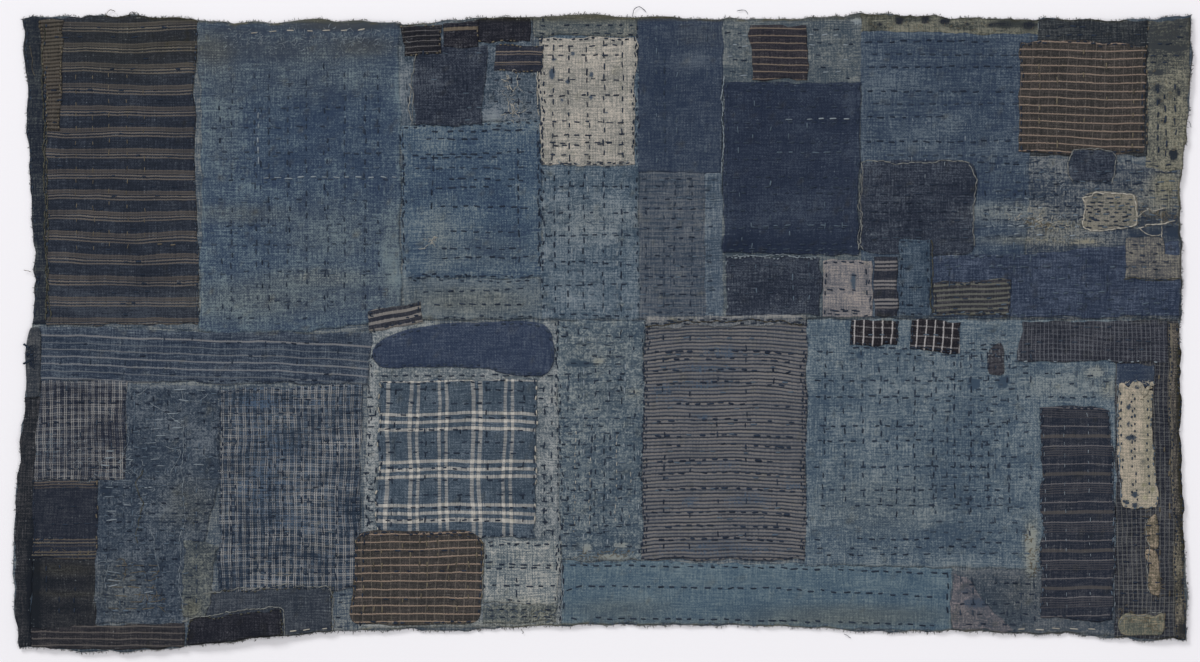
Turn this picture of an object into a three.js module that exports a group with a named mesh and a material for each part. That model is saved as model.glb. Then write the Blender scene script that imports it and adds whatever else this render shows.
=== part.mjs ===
// A boro cloth: two loom widths of indigo cotton joined by a long seam, covered all over with
// hand-sewn patches of other worn cottons. It lies flat, face up, as on a cutting table.
// Millimetres, +Z up. The origin is under the middle of the cloth, on the surface it lies on.
import * as THREE from "three";

// Thicknesses and clearances
const PANEL_THICKNESS = 1.6; // a loom width with the older layers quilted behind it
const PATCH_THICKNESS = 1.0; // one patch with its edge turned in
const SEWN_GAP = 0.3; // clear space between two pieces that are sewn together
const LONGEST_FACET = 34; // along a sheet
const FEWEST_FACETS = 2;
const EDGE_WOBBLE = 0.5; // how far a hand-cut side wanders
const WOBBLE_WAVE = 57; // length of one such wander
const STEPS_PER_POINT = 12; // along a smooth line through an outline's points

// Places are in millimetres on the cutting table: x to the right and y towards the maker.
const CLOTH_MIDDLE = { x: 602, y: 333 };

// The cloth's outline, as points that a smooth line goes through
const FAR_EDGE = [
  [22, 19.5], [36, 18.5], [86, 16.5], [172, 16.5], [219, 23], [300, 21.5], [357, 21], [419, 25.5], [472, 18.5],
  [530, 16.5], [640, 16.5], [696, 19], [791, 19], [858, 15.8], [900, 15.3], [1015, 19], [1143, 20], [1191, 15],
];
const NEAR_EDGE = [
  [19, 648], [50, 647], [92, 651], [184, 647], [268, 639], [348, 631], [491, 629.5], [577, 624],
  [657, 625], [734, 626], [810, 628.5], [900, 631.5], [1013, 632], [1082, 635.5], [1164, 639], [1186, 640],
];
const LEFT_EDGE = [
  [22.6, 19], [28.7, 132], [34.4, 316], [28.5, 342], [27, 398], [20.7, 440],
  [17, 494], [13.8, 543], [13, 599], [15.3, 631], [20, 648],
];
const RIGHT_EDGE = [
  [1190.5, 15], [1189.5, 90], [1182, 166], [1178.5, 220], [1181, 279], [1180, 319],
  [1177.5, 354], [1177, 440], [1180, 516], [1185, 574], [1186, 608], [1185, 640],
];
// The seam between the two loom widths
const LONG_SEAM = [
  [28, 325], [120, 327], [200, 332], [300, 335.5], [365, 329.5], [410, 321.5],
  [560, 320], [800, 318.5], [1000, 318], [1185, 320],
];

// Where the cloth doesn't lie quite flat: a low swell at x, y, turned by degrees, with its half length, half width and height
const SWELLS = [
  { x: 95, y: 610, turn: 70, reach: 150, spread: 85, height: 2.4 },
  { x: 262, y: 645, turn: 10, reach: 150, spread: 80, height: 3.0 },
  { x: 415, y: 20, turn: 0, reach: 150, spread: 80, height: 2.6 },
  { x: 610, y: 150, turn: 80, reach: 170, spread: 95, height: 1.4 },
  { x: 745, y: 455, turn: -12, reach: 200, spread: 105, height: 1.6 },
  { x: 1165, y: 75, turn: 75, reach: 160, spread: 85, height: 3.0 },
  { x: 1170, y: 560, turn: -80, reach: 150, spread: 80, height: 2.8 },
  { x: 22, y: 345, turn: 90, reach: 120, spread: 75, height: 2.2 },
];
const FLAT_BELOW = 0.35; // a swell lower than this stays on the surface

// The cottons, with their colours and how matt they are
const COTTONS = {
  ground: { color: 0x4d5862, roughness: 0.94 },
  deepIndigo: { color: 0x2e3544, roughness: 0.92 },
  midIndigo: { color: 0x3f4a57, roughness: 0.93 },
  paleIndigo: { color: 0x505b67, roughness: 0.94 },
  wornIndigo: { color: 0x474f58, roughness: 0.95 },
  charcoal: { color: 0x333944, roughness: 0.92 },
  cream: { color: 0x87837b, roughness: 0.95 },
  beige: { color: 0x6a6867, roughness: 0.95 },
  stripe: { color: 0x3c3d43, roughness: 0.93 },
  greyStripe: { color: 0x4f535a, roughness: 0.94 },
  brownLine: { color: 0x46423f, roughness: 0.94 },
  fineCheck: { color: 0x45494f, roughness: 0.94 },
  plaid: { color: 0x59606a, roughness: 0.94 },
};

// Each patch: its name, its cotton, the layer it lies in, its corners from the far left one round to
// the near left one, how far its far, right, near and left sides bow out, and how round its corners are
const STRAIGHT = [0, 0, 0, 0];
const PATCHES = [
  // Facings along the two ends
  ["left_band_upper", "charcoal", 1, [24, 20.5], [44, 20], [46.5, 322], [35.5, 322], STRAIGHT, 0],
  ["left_band_lower", "charcoal", 1, [27.5, 399], [39.5, 398.5], [30.5, 644], [20.5, 645], [0, -3, 0, 6.5], 0],
  ["right_check_band", "fineCheck", 1, [1116.5, 322.5], [1175.5, 322.5], [1183, 637], [1116, 636], [0, -4, 0, 0], 0],
  // Far loom width, the pieces that cover it
  ["striped_end", "stripe", 1, [46.5, 20], [196, 21.5], [199, 322.5], [49, 323.5], [2.5, -4, 0, 0], 0],
  ["pale_west_field", "paleIndigo", 1, [198.5, 25], [397.5, 26], [400.5, 318], [201.5, 329.5], [0, 0, 6, -4], 0],
  ["worn_north_field", "wornIndigo", 1, [400, 27], [531, 20.5], [539.5, 119], [402, 124.5], STRAIGHT, 0],
  ["west_two_field", "midIndigo", 1, [402.5, 127.5], [540.5, 122], [540.5, 277], [404, 278], STRAIGHT, 0],
  ["moss_north_strip", "wornIndigo", 1, [404, 280.5], [540.5, 279.5], [541, 317.5], [405, 318], STRAIGHT, 0],
  ["middle_north_field", "paleIndigo", 1, [542.5, 20], [636.5, 20], [637.5, 317.5], [543, 317.5], STRAIGHT, 0],
  ["dark_north_field", "midIndigo", 1, [639, 20.5], [721.5, 21.5], [720, 171], [639, 171], STRAIGHT, 0],
  ["grey_line_field", "greyStripe", 1, [640, 173.5], [704, 173.5], [704, 317.5], [640, 317.5], STRAIGHT, 0],
  ["pale_narrow_strip", "paleIndigo", 1, [706, 173.5], [722, 173.5], [722, 317], [706, 317], STRAIGHT, 0],
  ["pale_north_field", "paleIndigo", 1, [724, 22], [859.5, 20], [859.5, 316.5], [724.5, 316.5], STRAIGHT, 0],
  ["east_field", "midIndigo", 1, [862, 33], [1036.5, 36.5], [1021, 316.5], [862, 316.5], STRAIGHT, 0],
  ["dark_north_east", "charcoal", 1, [1039, 22], [1145.5, 22.5], [1144.5, 154], [1030.5, 154], STRAIGHT, 0],
  ["worn_east_field", "wornIndigo", 1, [1029.5, 157], [1180, 171], [1178.5, 317], [1023.5, 317], STRAIGHT, 0],
  ["tan_corner", "beige", 1, [1148, 23], [1187.5, 19.5], [1181.5, 168], [1147, 167], [0, 2, 0, 0], 0],
  // Near loom width, the pieces that cover it
  ["lined_west_strip", "stripe", 1, [42, 328], [371, 334.5], [366, 383], [42, 380], [-2, 0, 0, 0], 0],
  ["fine_check_west", "fineCheck", 1, [42, 382.5], [126, 382.5], [124, 478], [36, 478.5], STRAIGHT, 0],
  ["navy_west_scrap", "stripe", 1, [35, 481], [96.5, 482.5], [95.5, 557], [33.5, 556], STRAIGHT, 0],
  ["olive_west_scrap", "charcoal", 1, [35.5, 558.5], [95.5, 560], [95, 626], [33.5, 627], STRAIGHT, 0],
  ["worn_west_upper", "wornIndigo", 1, [128.5, 384.5], [219, 389], [219, 478], [126.5, 478.5], STRAIGHT, 0],
  ["worn_west_lower", "wornIndigo", 1, [99, 481], [219, 480.5], [182, 622], [98, 622], STRAIGHT, 0],
  ["tan_line_hem", "stripe", 1, [33.5, 629.5], [183, 624.5], [183, 645.5], [34, 645.5], [0, 0, 2, 0], 0],
  ["fine_check_middle", "fineCheck", 1, [221.5, 392], [361, 386], [357.5, 586], [221, 589.5], STRAIGHT, 0],
  ["blue_hem_strip", "midIndigo", 1, [205, 592], [332, 588], [332, 631.5], [205, 643], STRAIGHT, 0],
  ["plaid_ground", "paleIndigo", 1, [373.5, 326], [556, 323], [559.5, 624], [360.5, 627], STRAIGHT, 0],
  ["mottled_field", "paleIndigo", 1, [558.5, 323], [644, 323], [640.5, 559], [562, 558.5], STRAIGHT, 0],
  ["grey_stripe_field", "greyStripe", 1, [646.5, 325], [806, 323.5], [804, 558.5], [643, 557], [3, 0, 0, 0], 0],
  ["pale_east_field", "paleIndigo", 1, [808.5, 322], [1114, 322.5], [1113.5, 567], [806.5, 564], STRAIGHT, 0],
  ["teal_hem_strip", "midIndigo", 1, [564, 561.5], [950, 570], [950, 630.5], [563, 622.5], [0, 0, -3, 0], 0],
  ["south_east_field", "wornIndigo", 1, [952.5, 572.5], [1113.5, 570], [1113.5, 633.5], [952.5, 630.5], STRAIGHT, 0],
  // Patches sewn over those
  ["tick_strip", "stripe", 2, [40, 20.5], [64.5, 20.5], [60, 131], [48, 131], STRAIGHT, 0],
  ["charcoal_north", "charcoal", 2, [414, 45.5], [488, 45], [482, 125], [414, 126], STRAIGHT, 0.02],
  ["black_north_scrap", "charcoal", 2, [476, 19.5], [531, 18.5], [531, 42], [478, 42.5], STRAIGHT, 0.06],
  ["cream_patch", "cream", 2, [539, 38.5], [636, 37.5], [635, 165], [541, 165], STRAIGHT, 0.01],
  ["orange_line_patch", "brownLine", 2, [750, 25.5], [806, 25.5], [807, 80.5], [752, 80.5], STRAIGHT, 0.01],
  ["deep_indigo_field", "deepIndigo", 2, [724.5, 83], [861, 82.5], [858, 255.5], [723, 253], STRAIGHT, 0],
  ["charcoal_low", "charcoal", 2, [725, 256.5], [820, 257.5], [820, 316], [725, 316], STRAIGHT, 0.02],
  ["beige_scrap", "beige", 2, [822.5, 261], [871.5, 261], [872, 316.5], [822.5, 316.5], STRAIGHT, 0.01],
  ["bold_stripe_scrap", "stripe", 2, [874, 257], [897, 257], [896.5, 316], [874.5, 316], STRAIGHT, 0],
  ["charcoal_rounded", "charcoal", 2, [862.5, 163], [973, 163.5], [974.5, 254.5], [861, 254], STRAIGHT, 0.1],
  ["long_indigo", "deepIndigo", 2, [932.5, 257], [1178.5, 241], [1179, 316], [932.5, 316], [-2, 0, 0, 0], 0],
  ["brown_check_north", "brownLine", 2, [1020, 42.5], [1146, 46.5], [1143, 153.5], [1018, 152], [3, 0, 2, 0], 0.01],
  ["cream_east_scrap", "cream", 2, [1083, 194], [1136, 195], [1138, 230], [1081, 230], STRAIGHT, 0.04],
  ["three_line_scrap", "stripe", 2, [368, 311.5], [421, 301.5], [423, 322], [369, 331.5], STRAIGHT, 0.02],
  ["pill_patch", "deepIndigo", 2, [376, 332], [552, 323.5], [551, 374], [379, 370], [3, 3, 0, 3], 0.16],
  ["plaid_patch", "plaid", 2, [380, 380], [537, 379], [536, 538], [376, 537], STRAIGHT, 0],
  ["pale_grey_scrap", "paleIndigo", 2, [483, 541], [562, 541], [558, 603], [483, 603], STRAIGHT, 0.01],
  ["black_hem_scrap", "charcoal", 2, [190, 619], [282, 608.5], [283, 638], [186, 644.5], STRAIGHT, 0.01],
  ["small_check_left", "stripe", 2, [851, 319.5], [899, 321], [897, 345], [849, 345], STRAIGHT, 0.03],
  ["small_check_right", "stripe", 2, [911, 320], [961, 322], [960, 354], [909, 349], STRAIGHT, 0.05],
  ["dark_check_strip", "fineCheck", 2, [1022, 321.5], [1167.5, 320.5], [1168, 363], [1016, 361], STRAIGHT, 0],
  ["cream_east_strip", "cream", 2, [1119, 384], [1152, 385], [1157, 507], [1121, 505], STRAIGHT, 0.03],
  ["navy_line_patch", "stripe", 2, [1039, 407], [1109, 410], [1112, 620], [1040, 618], [3, 4, 0, -2], 0.01],
  ["blue_scrap", "midIndigo", 3, [899, 239], [930, 239], [930.5, 316], [899, 316], STRAIGHT, 0.02],
  ["olive_stripe_scrap", "stripe", 3, [933, 283], [1011, 279.5], [1008, 315], [933, 316], STRAIGHT, 0.01],
  ["brown_line_patch", "brownLine", 3, [358, 534], [481, 534], [481, 624], [353.5, 624], STRAIGHT, 0.03],
];

// A number between a and b
const between = (a, b, share) => a + (b - a) * share;

// A smooth line through points, asked by its value along the column "from", giving the column "to"
function smoothLine(points, from, to) {
  const curve = new THREE.CatmullRomCurve3(points.map(([x, y]) => new THREE.Vector3(x, y, 0)), false, "centripetal");
  const samples = curve.getPoints(points.length * STEPS_PER_POINT).map((point) => [point.x, point.y]);
  return (at) => {
    const next = samples.findIndex((sample) => sample[from] > at);
    if (next === 0) return samples[0][to];
    if (next < 0) return samples[samples.length - 1][to];
    const [before, after] = [samples[next - 1], samples[next]];
    return between(before[to], after[to], (at - before[from]) / (after[from] - before[from]));
  };
}

// How high the cloth's underside stands over the surface at a place on the table
function swellAt(x, y) {
  let height = 0;
  for (const swell of SWELLS) {
    const turn = THREE.MathUtils.degToRad(swell.turn);
    const along = (x - swell.x) * Math.cos(turn) + (y - swell.y) * Math.sin(turn);
    const across = (y - swell.y) * Math.cos(turn) - (x - swell.x) * Math.sin(turn);
    height += swell.height * Math.exp(-((along / swell.reach) ** 2) - (across / swell.spread) ** 2);
  }
  return Math.max(0, height - FLAT_BELOW);
}

// A closed sheet of even thickness. placeAt turns shares across and down the sheet into a place on the table.
function sheet(length, width, underside, thickness, placeAt) {
  const columns = Math.max(FEWEST_FACETS, Math.ceil(length / LONGEST_FACET));
  const rows = Math.max(FEWEST_FACETS, Math.ceil(width / LONGEST_FACET));
  const geometry = new THREE.BoxGeometry(1, 1, 1, columns, rows, 1);
  const position = geometry.getAttribute("position");
  for (let i = 0; i < position.count; i++) {
    const place = placeAt(position.getX(i) + 0.5, 0.5 - position.getY(i));
    const face = position.getZ(i) > 0 ? thickness : 0;
    const height = underside + swellAt(place.x, place.y) + face;
    position.setXYZ(i, place.x - CLOTH_MIDDLE.x, CLOTH_MIDDLE.y - place.y, height);
  }
  geometry.computeVertexNormals();
  return geometry;
}

function cottonMesh(name, cotton, geometry) {
  const mesh = new THREE.Mesh(geometry, new THREE.MeshStandardMaterial({ ...COTTONS[cotton], metalness: 0 }));
  mesh.name = name;
  return mesh;
}

// One loom width, between its far and near edges, from one end of the cloth to the other
function loomWidth(name, farAt, nearAt) {
  const leftAt = smoothLine(LEFT_EDGE, 1, 0);
  const rightAt = smoothLine(RIGHT_EDGE, 1, 0);
  const [start, end] = [LEFT_EDGE[0][0], RIGHT_EDGE[0][0]];
  const placeAt = (u, v) => {
    const column = between(start, end, u);
    const y = between(farAt(column), nearAt(column), v);
    return { x: between(leftAt(y), rightAt(y), u), y };
  };
  const middle = (start + end) / 2;
  const width = nearAt(middle) - farAt(middle);
  return cottonMesh(name, "ground", sheet(end - start, width, 0, PANEL_THICKNESS, placeAt));
}

// One patch between its four corners, with bowed, slightly wandering sides and rounded corners
function patch([name, cotton, layer, farLeft, farRight, nearRight, nearLeft, bows, roundness]) {
  const [bowFar, bowRight, bowNear, bowLeft] = bows;
  const hump = (share) => 4 * share * (1 - share);
  const wander = (along) => EDGE_WOBBLE * Math.sin((2 * Math.PI * along) / WOBBLE_WAVE);
  const placeAt = (u, v) => {
    const [s, t] = [2 * u - 1, 2 * v - 1];
    const roundU = (s * Math.sqrt(1 - roundness * t * t) + 1) / 2;
    const roundV = (t * Math.sqrt(1 - roundness * s * s) + 1) / 2;
    const place = [0, 1].map((axis) => {
      const far = between(farLeft[axis], farRight[axis], roundU);
      const near = between(nearLeft[axis], nearRight[axis], roundU);
      return between(far, near, roundV);
    });
    const sideways = bowRight * u * hump(v) - bowLeft * (1 - u) * hump(v);
    const downward = bowNear * v * hump(u) - bowFar * (1 - v) * hump(u);
    return {
      x: place[0] + sideways + wander(place[1]) * hump(v),
      y: place[1] + downward + wander(place[0]) * hump(u),
    };
  };
  const underside = PANEL_THICKNESS + SEWN_GAP + (layer - 1) * (PATCH_THICKNESS + SEWN_GAP);
  const length = Math.max(farRight[0] - farLeft[0], nearRight[0] - nearLeft[0]);
  const width = Math.max(nearLeft[1] - farLeft[1], nearRight[1] - farRight[1]);
  return cottonMesh(name, cotton, sheet(length, width, underside, PATCH_THICKNESS, placeAt));
}

const cloth = new THREE.Group();
const seamAt = smoothLine(LONG_SEAM, 0, 1);
cloth.add(loomWidth("far_loom_width", smoothLine(FAR_EDGE, 0, 1), (x) => seamAt(x) - SEWN_GAP / 2));
cloth.add(loomWidth("near_loom_width", (x) => seamAt(x) + SEWN_GAP / 2, smoothLine(NEAR_EDGE, 0, 1)));
for (const row of PATCHES) cloth.add(patch(row));

export default cloth;
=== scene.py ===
"""A boro cloth laid flat and face up: two loom widths, the patches over them and their sewing thread.

Places on the cloth are in millimetres on the cutting table, x to the right and y towards the maker.
"""

import logging
import math
from dataclasses import dataclass, field
from enum import Enum

import bpy
import numpy as np
from bpy.types import Material, Mesh, Node, NodeSocket, NodeTree, Object
from numpy import ndarray
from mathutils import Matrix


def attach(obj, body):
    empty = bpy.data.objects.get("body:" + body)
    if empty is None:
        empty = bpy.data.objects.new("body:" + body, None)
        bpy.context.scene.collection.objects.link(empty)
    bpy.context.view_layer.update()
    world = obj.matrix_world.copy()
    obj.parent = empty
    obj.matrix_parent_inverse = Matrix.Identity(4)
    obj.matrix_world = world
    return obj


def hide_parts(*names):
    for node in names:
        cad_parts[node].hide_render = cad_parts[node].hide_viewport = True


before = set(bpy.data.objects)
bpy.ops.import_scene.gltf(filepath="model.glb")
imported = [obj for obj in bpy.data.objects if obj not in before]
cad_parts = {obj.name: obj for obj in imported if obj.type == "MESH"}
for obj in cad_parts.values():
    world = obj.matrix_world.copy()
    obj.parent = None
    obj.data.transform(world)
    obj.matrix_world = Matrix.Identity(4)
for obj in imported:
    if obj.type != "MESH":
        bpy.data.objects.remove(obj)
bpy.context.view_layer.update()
LOG = logging.getLogger("boro")

MM = 0.001
TABLE_MIDDLE = (602.0, 333.0)  # the row's origin on the table
TABLE_CORNER = (-12, -12)  # the height map's first millimetre
TABLE_SIZE = (1230, 690)  # columns and rows of the height map, one for each millimetre
PANEL_THICKNESS = 1.6
PATCH_THICKNESS = 1.0
SEED = 1868
SEED_STEP = 20  # between the seeds of two pieces

# Low swells where the cloth doesn't lie quite flat, as in the solids:
# x, y, turn, half length, half width, height
SWELLS = (
    (95, 610, 70, 150, 85, 2.4),
    (262, 645, 10, 150, 80, 3.0),
    (415, 20, 0, 150, 80, 2.6),
    (610, 150, 80, 170, 95, 1.4),
    (745, 455, -12, 200, 105, 1.6),
    (1165, 75, 75, 160, 85, 3.0),
    (1170, 560, -80, 150, 80, 2.8),
    (22, 345, 90, 120, 75, 2.2),
)
FLAT_BELOW = 0.35  # what is lower than this lies flat
COTTON_IOR = 1.47  # of cellulose
PLY_SIZE = 1.2  # of a thread's twist, in millimetres, drawn coarser than it is so that it shows
YARN_TONES = (0.35, 1.0)  # where a thread's dark and light tones come
YARN_SPREAD = 0.7  # how much single lengths differ
YARN_ROUGHNESS, YARN_SPECULAR = 0.88, 0.05
YARN_BUMP = {"Strength": 0.5, "Distance": 0.0003}


class Run(Enum):
    """Which way a set of stitch rows runs."""

    ACROSS = "across"
    DOWN = "down"


ACROSS, DOWN = Run


class Yarn(Enum):
    """The sewing threads, by colour: a dark and a light tone of each, as sRGB hex."""

    NAVY = ("202733", "303947")
    DUSK = ("29313f", "3b4552")
    FADED = ("3d4753", "566370")
    PALE = ("5f6a74", "868f96")
    CREAM = ("86837b", "b5b0a5")
    FLAX = ("56585a", "838582")
    MOSS = ("34352f", "52524a")
    TAN = ("4c4841", "706859")
    BROWN = ("2b2a25", "47433a")


NAVY, DUSK, FADED, PALE, CREAM, FLAX, MOSS, TAN, BROWN = Yarn


def linear(colour: str) -> tuple[float, float, float, float]:
    """Turns an sRGB hex colour to linear light.

    Args:
        colour: Six hex digits.

    Returns:
        Red, green, blue and an alpha of one.
    """
    parts = [int(colour[i : i + 2], 16) / 255 for i in (0, 2, 4)]
    red, green, blue = (p / 12.92 if p <= 0.04045 else ((p + 0.055) / 1.055) ** 2.4 for p in parts)
    return red, green, blue, 1.0


def node(tree: NodeTree, kind: str, settings: dict | None = None, links: dict | None = None) -> Node:
    """Adds a node to a material.

    Args:
        tree: The material's node tree.
        kind: The node's type, without the words that all shader nodes' types begin with.
        settings: Properties and input values, by property name, input name or input number.
        links: Output sockets to join, by input name or number.

    Returns:
        The new node.
    """
    made = tree.nodes.new(f"ShaderNode{kind}")
    for key, value in (settings or {}).items():
        if isinstance(key, str) and hasattr(made, key):
            setattr(made, key, value)
        else:
            made.inputs[key].default_value = value
    for key, source in (links or {}).items():
        tree.links.new(source, made.inputs[key])
    return made


def blurred(values: ndarray, reach: float) -> ndarray:
    """Softens a height map.

    Args:
        values: The map.
        reach: The blur's standard deviation, in millimetres.

    Returns:
        The softened map.
    """
    fx = np.fft.rfftfreq(values.shape[1])[None, :]
    fy = np.fft.fftfreq(values.shape[0])[:, None]
    keep = np.exp(-2 * math.pi**2 * ((reach * fx) ** 2 + (reach * fy) ** 2))
    return np.fft.irfft2(np.fft.rfft2(values) * keep, s=values.shape)


def clouds(seed: int, size: float) -> ndarray:
    """Makes smooth random unevenness over the table.

    Args:
        seed: The random seed.
        size: The size of its waves, in millimetres.

    Returns:
        A map with a mean of zero and a standard deviation of one.
    """
    rough = np.random.default_rng(seed).standard_normal((TABLE_SIZE[1], TABLE_SIZE[0]))
    soft = blurred(rough, size / 4)
    return (soft - soft.mean()) / soft.std()


def sampled(values: ndarray, x: ndarray, y: ndarray) -> ndarray:
    """Reads a map between its millimetres.

    Args:
        values: The map.
        x: Places along the table.
        y: Places towards the maker.

    Returns:
        The map's values there.
    """
    column = np.clip(np.asarray(x, float) - TABLE_CORNER[0], 0, TABLE_SIZE[0] - 1.001)
    row = np.clip(np.asarray(y, float) - TABLE_CORNER[1], 0, TABLE_SIZE[1] - 1.001)
    c, r = column.astype(int), row.astype(int)
    fc, fr = column - c, row - r
    near = values[r + 1, c] * (1 - fc) + values[r + 1, c + 1] * fc
    return (values[r, c] * (1 - fc) + values[r, c + 1] * fc) * (1 - fr) + near * fr


def cells(x: ndarray, y: ndarray) -> tuple[ndarray, ndarray]:
    """Finds the map's cells that hold places on the table.

    Args:
        x: Places along the table.
        y: Places towards the maker.

    Returns:
        Their rows and columns.
    """
    column = np.clip(np.rint(np.asarray(x) - TABLE_CORNER[0]).astype(int), 0, TABLE_SIZE[0] - 1)
    row = np.clip(np.rint(np.asarray(y) - TABLE_CORNER[1]).astype(int), 0, TABLE_SIZE[1] - 1)
    return row, column


def in_frame(x: ndarray, y: ndarray, z: ndarray) -> ndarray:
    """Turns places on the table to the row's frame.

    Args:
        x: Places along the table, in millimetres.
        y: Places towards the maker.
        z: Heights over the table.

    Returns:
        Points in metres, with the last axis holding their three coordinates.
    """
    return np.stack([x - TABLE_MIDDLE[0], TABLE_MIDDLE[1] - y, z], -1) * MM


def alone(name: str) -> Object:
    """Names the object that an operator just made, and gives it a mesh of its own name.

    Args:
        name: The piece's name.

    Returns:
        The object.
    """
    made = bpy.context.object
    made.name = made.data.name = name
    return made


@dataclass(frozen=True)
class Lines:
    """Coloured threads that repeat across a cloth.

    Attributes:
        period: The distance after which they repeat, in millimetres.
        bands: Each band's start and width in millimetres, and its colour.
        cover: How much of the ground they hide.
        fade: How strongly they come and go where the cloth is worn.
    """

    period: float
    bands: tuple[tuple[float, float, str], ...]
    cover: float = 0.85
    fade: float = 0.6


@dataclass(frozen=True)
class Cotton:
    """A hand-woven plain cotton, dyed in the yarn or in the piece, and worn.

    It is matt, with uneven threads that show as fine streaks both ways and dye that has faded in clouds.

    Attributes:
        deep: The dye where it is darkest.
        dye: The dye over most of the cloth.
        pale: The dye where it has washed out.
        slot: The record's material slot; not used.
        cloud: How strongly it has faded in clouds.
        slub: How strongly its uneven threads show.
        weft: Lines that run across.
        warp: Lines that run down.
        bare: The colour of a thread whose dye has rubbed off.
        cross: How much more lines hide of the ground where they cross.
        curl: How strongly its face has matted and curled with wear.
    """

    deep: str
    dye: str
    pale: str
    slot: str = "pale_indigo"
    cloud: float = 1.5
    slub: float = 1.0
    weft: Lines | None = None
    warp: Lines | None = None
    bare: str = "7f878b"
    cross: float = 0.0
    curl: float = 0.35

    # Threads of such cotton are about 0.6 mm apart. They are drawn twice as coarse, so that they show.
    THREAD = 1.3
    # The streaks of single threads, the clouds of fading, the flecks and the curls of matted threads:
    # sizes across and down in millimetres, detail, twist and weight in the tone
    GRAINS = {
        "warp": (THREAD, 22, 1, 0, 1.2), "weft": (24, THREAD, 1, 0, 1.35), "cloud": (60, 34, 3, 0, 0.4),
        "fleck": (1.9, 1.9, 1, 0, 1.2), "curl": (5.0, 4.4, 2, 1.6, 1.0),
    }
    FADING = (1.05, 1.0, 0.96)  # indigo that has washed out shows more of the thread's own warm grey
    TONES = (0.12, 0.5, 0.8, 1.0)  # where the deep dye, the dye, the pale dye and the palest threads come
    BEYOND = 0.7  # how far the palest threads go past the pale dye
    WEAVE_TONE, WEAVE_RISE = 0.1, 0.35  # how strongly the weave shows in the tone and in the relief
    BUMP = {"Strength": 0.55, "Distance": 0.0005}
    ROUGHNESS, SPECULAR = 0.93, 0.03  # loose fibres scatter nearly all light
    WAVER = 1.3  # how far threads pull a line out of true, in millimetres
    BREAK = 0.8  # how strongly the threads that cross a line break it up
    RUB_WEIGHT = 0.8  # of each noise where dye rubs off
    RUB_FROM, RUB_TO = 1.48, 1.84  # where the dye starts to go and where it is gone
    STAIN = "6c6957"

    def material(self, name: str) -> Material:
        """Builds the cotton's material.

        Args:
            name: The material's name.

        Returns:
            The material.
        """
        made = bpy.data.materials.new(name)
        made.use_nodes = True
        tree = made.node_tree
        shader = tree.nodes["Principled BSDF"]
        grain = node(tree, "UVMap", {"uv_map": "grain"}).outputs["UV"]
        axes = node(tree, "SeparateXYZ", None, {0: grain})
        noises, weights = {}, {}
        strengths = {"warp": self.slub, "weft": self.slub, "cloud": self.cloud, "fleck": 1, "curl": self.curl}
        for key, (across, down, detail, twist, weight) in self.GRAINS.items():
            scale = (1 / across, 1 / down, 1)
            scaled = node(tree, "VectorMath", {"operation": "MULTIPLY", 1: scale}, {0: grain})
            settings = {"Scale": 1.0, "Detail": detail, "Roughness": 0.6, "Distortion": twist}
            noises[key] = node(tree, "TexNoise", settings, {"Vector": scaled.outputs[0]}).outputs[0]
            weights[key] = weight * strengths[key]
        weave = self.weave(tree, axes)
        colour = self.dyed(tree, noises, weights, weave)

        shares = []
        for lines, axis, across in ((self.weft, "Y", "warp"), (self.warp, "X", "weft")):
            if lines:
                colour, share = self.lined(tree, colour, lines, axes.outputs[axis], noises, across)
                shares.append(share)
        if self.cross:
            both = node(tree, "Math", {"operation": "MULTIPLY"}, {0: shares[0], 1: shares[1]}).outputs[0]
            both = node(tree, "Math", {"operation": "MULTIPLY", 1: self.cross}, {0: both}).outputs[0]
            settings = {"data_type": "RGBA", 7: linear(self.warp.bands[0][2])}
            colour = node(tree, "Mix", settings, {0: both, 6: colour}).outputs[2]
        colour = self.rubbed(tree, colour, noises)
        tree.links.new(colour, shader.inputs["Base Color"])
        shader.inputs["Roughness"].default_value = self.ROUGHNESS
        shader.inputs["IOR"].default_value = COTTON_IOR
        shader.inputs["Specular IOR Level"].default_value = self.SPECULAR
        settings = {"operation": "MULTIPLY_ADD", 1: self.WEAVE_RISE}
        height = node(tree, "Math", settings, {0: weave, 2: noises["fleck"]})
        settings = {"operation": "MULTIPLY_ADD", 1: self.curl}
        height = node(tree, "Math", settings, {0: noises["curl"], 2: height.outputs[0]})
        bump = node(tree, "Bump", self.BUMP, {"Height": height.outputs[0]})
        tree.links.new(bump.outputs[0], shader.inputs["Normal"])
        return made

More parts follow.
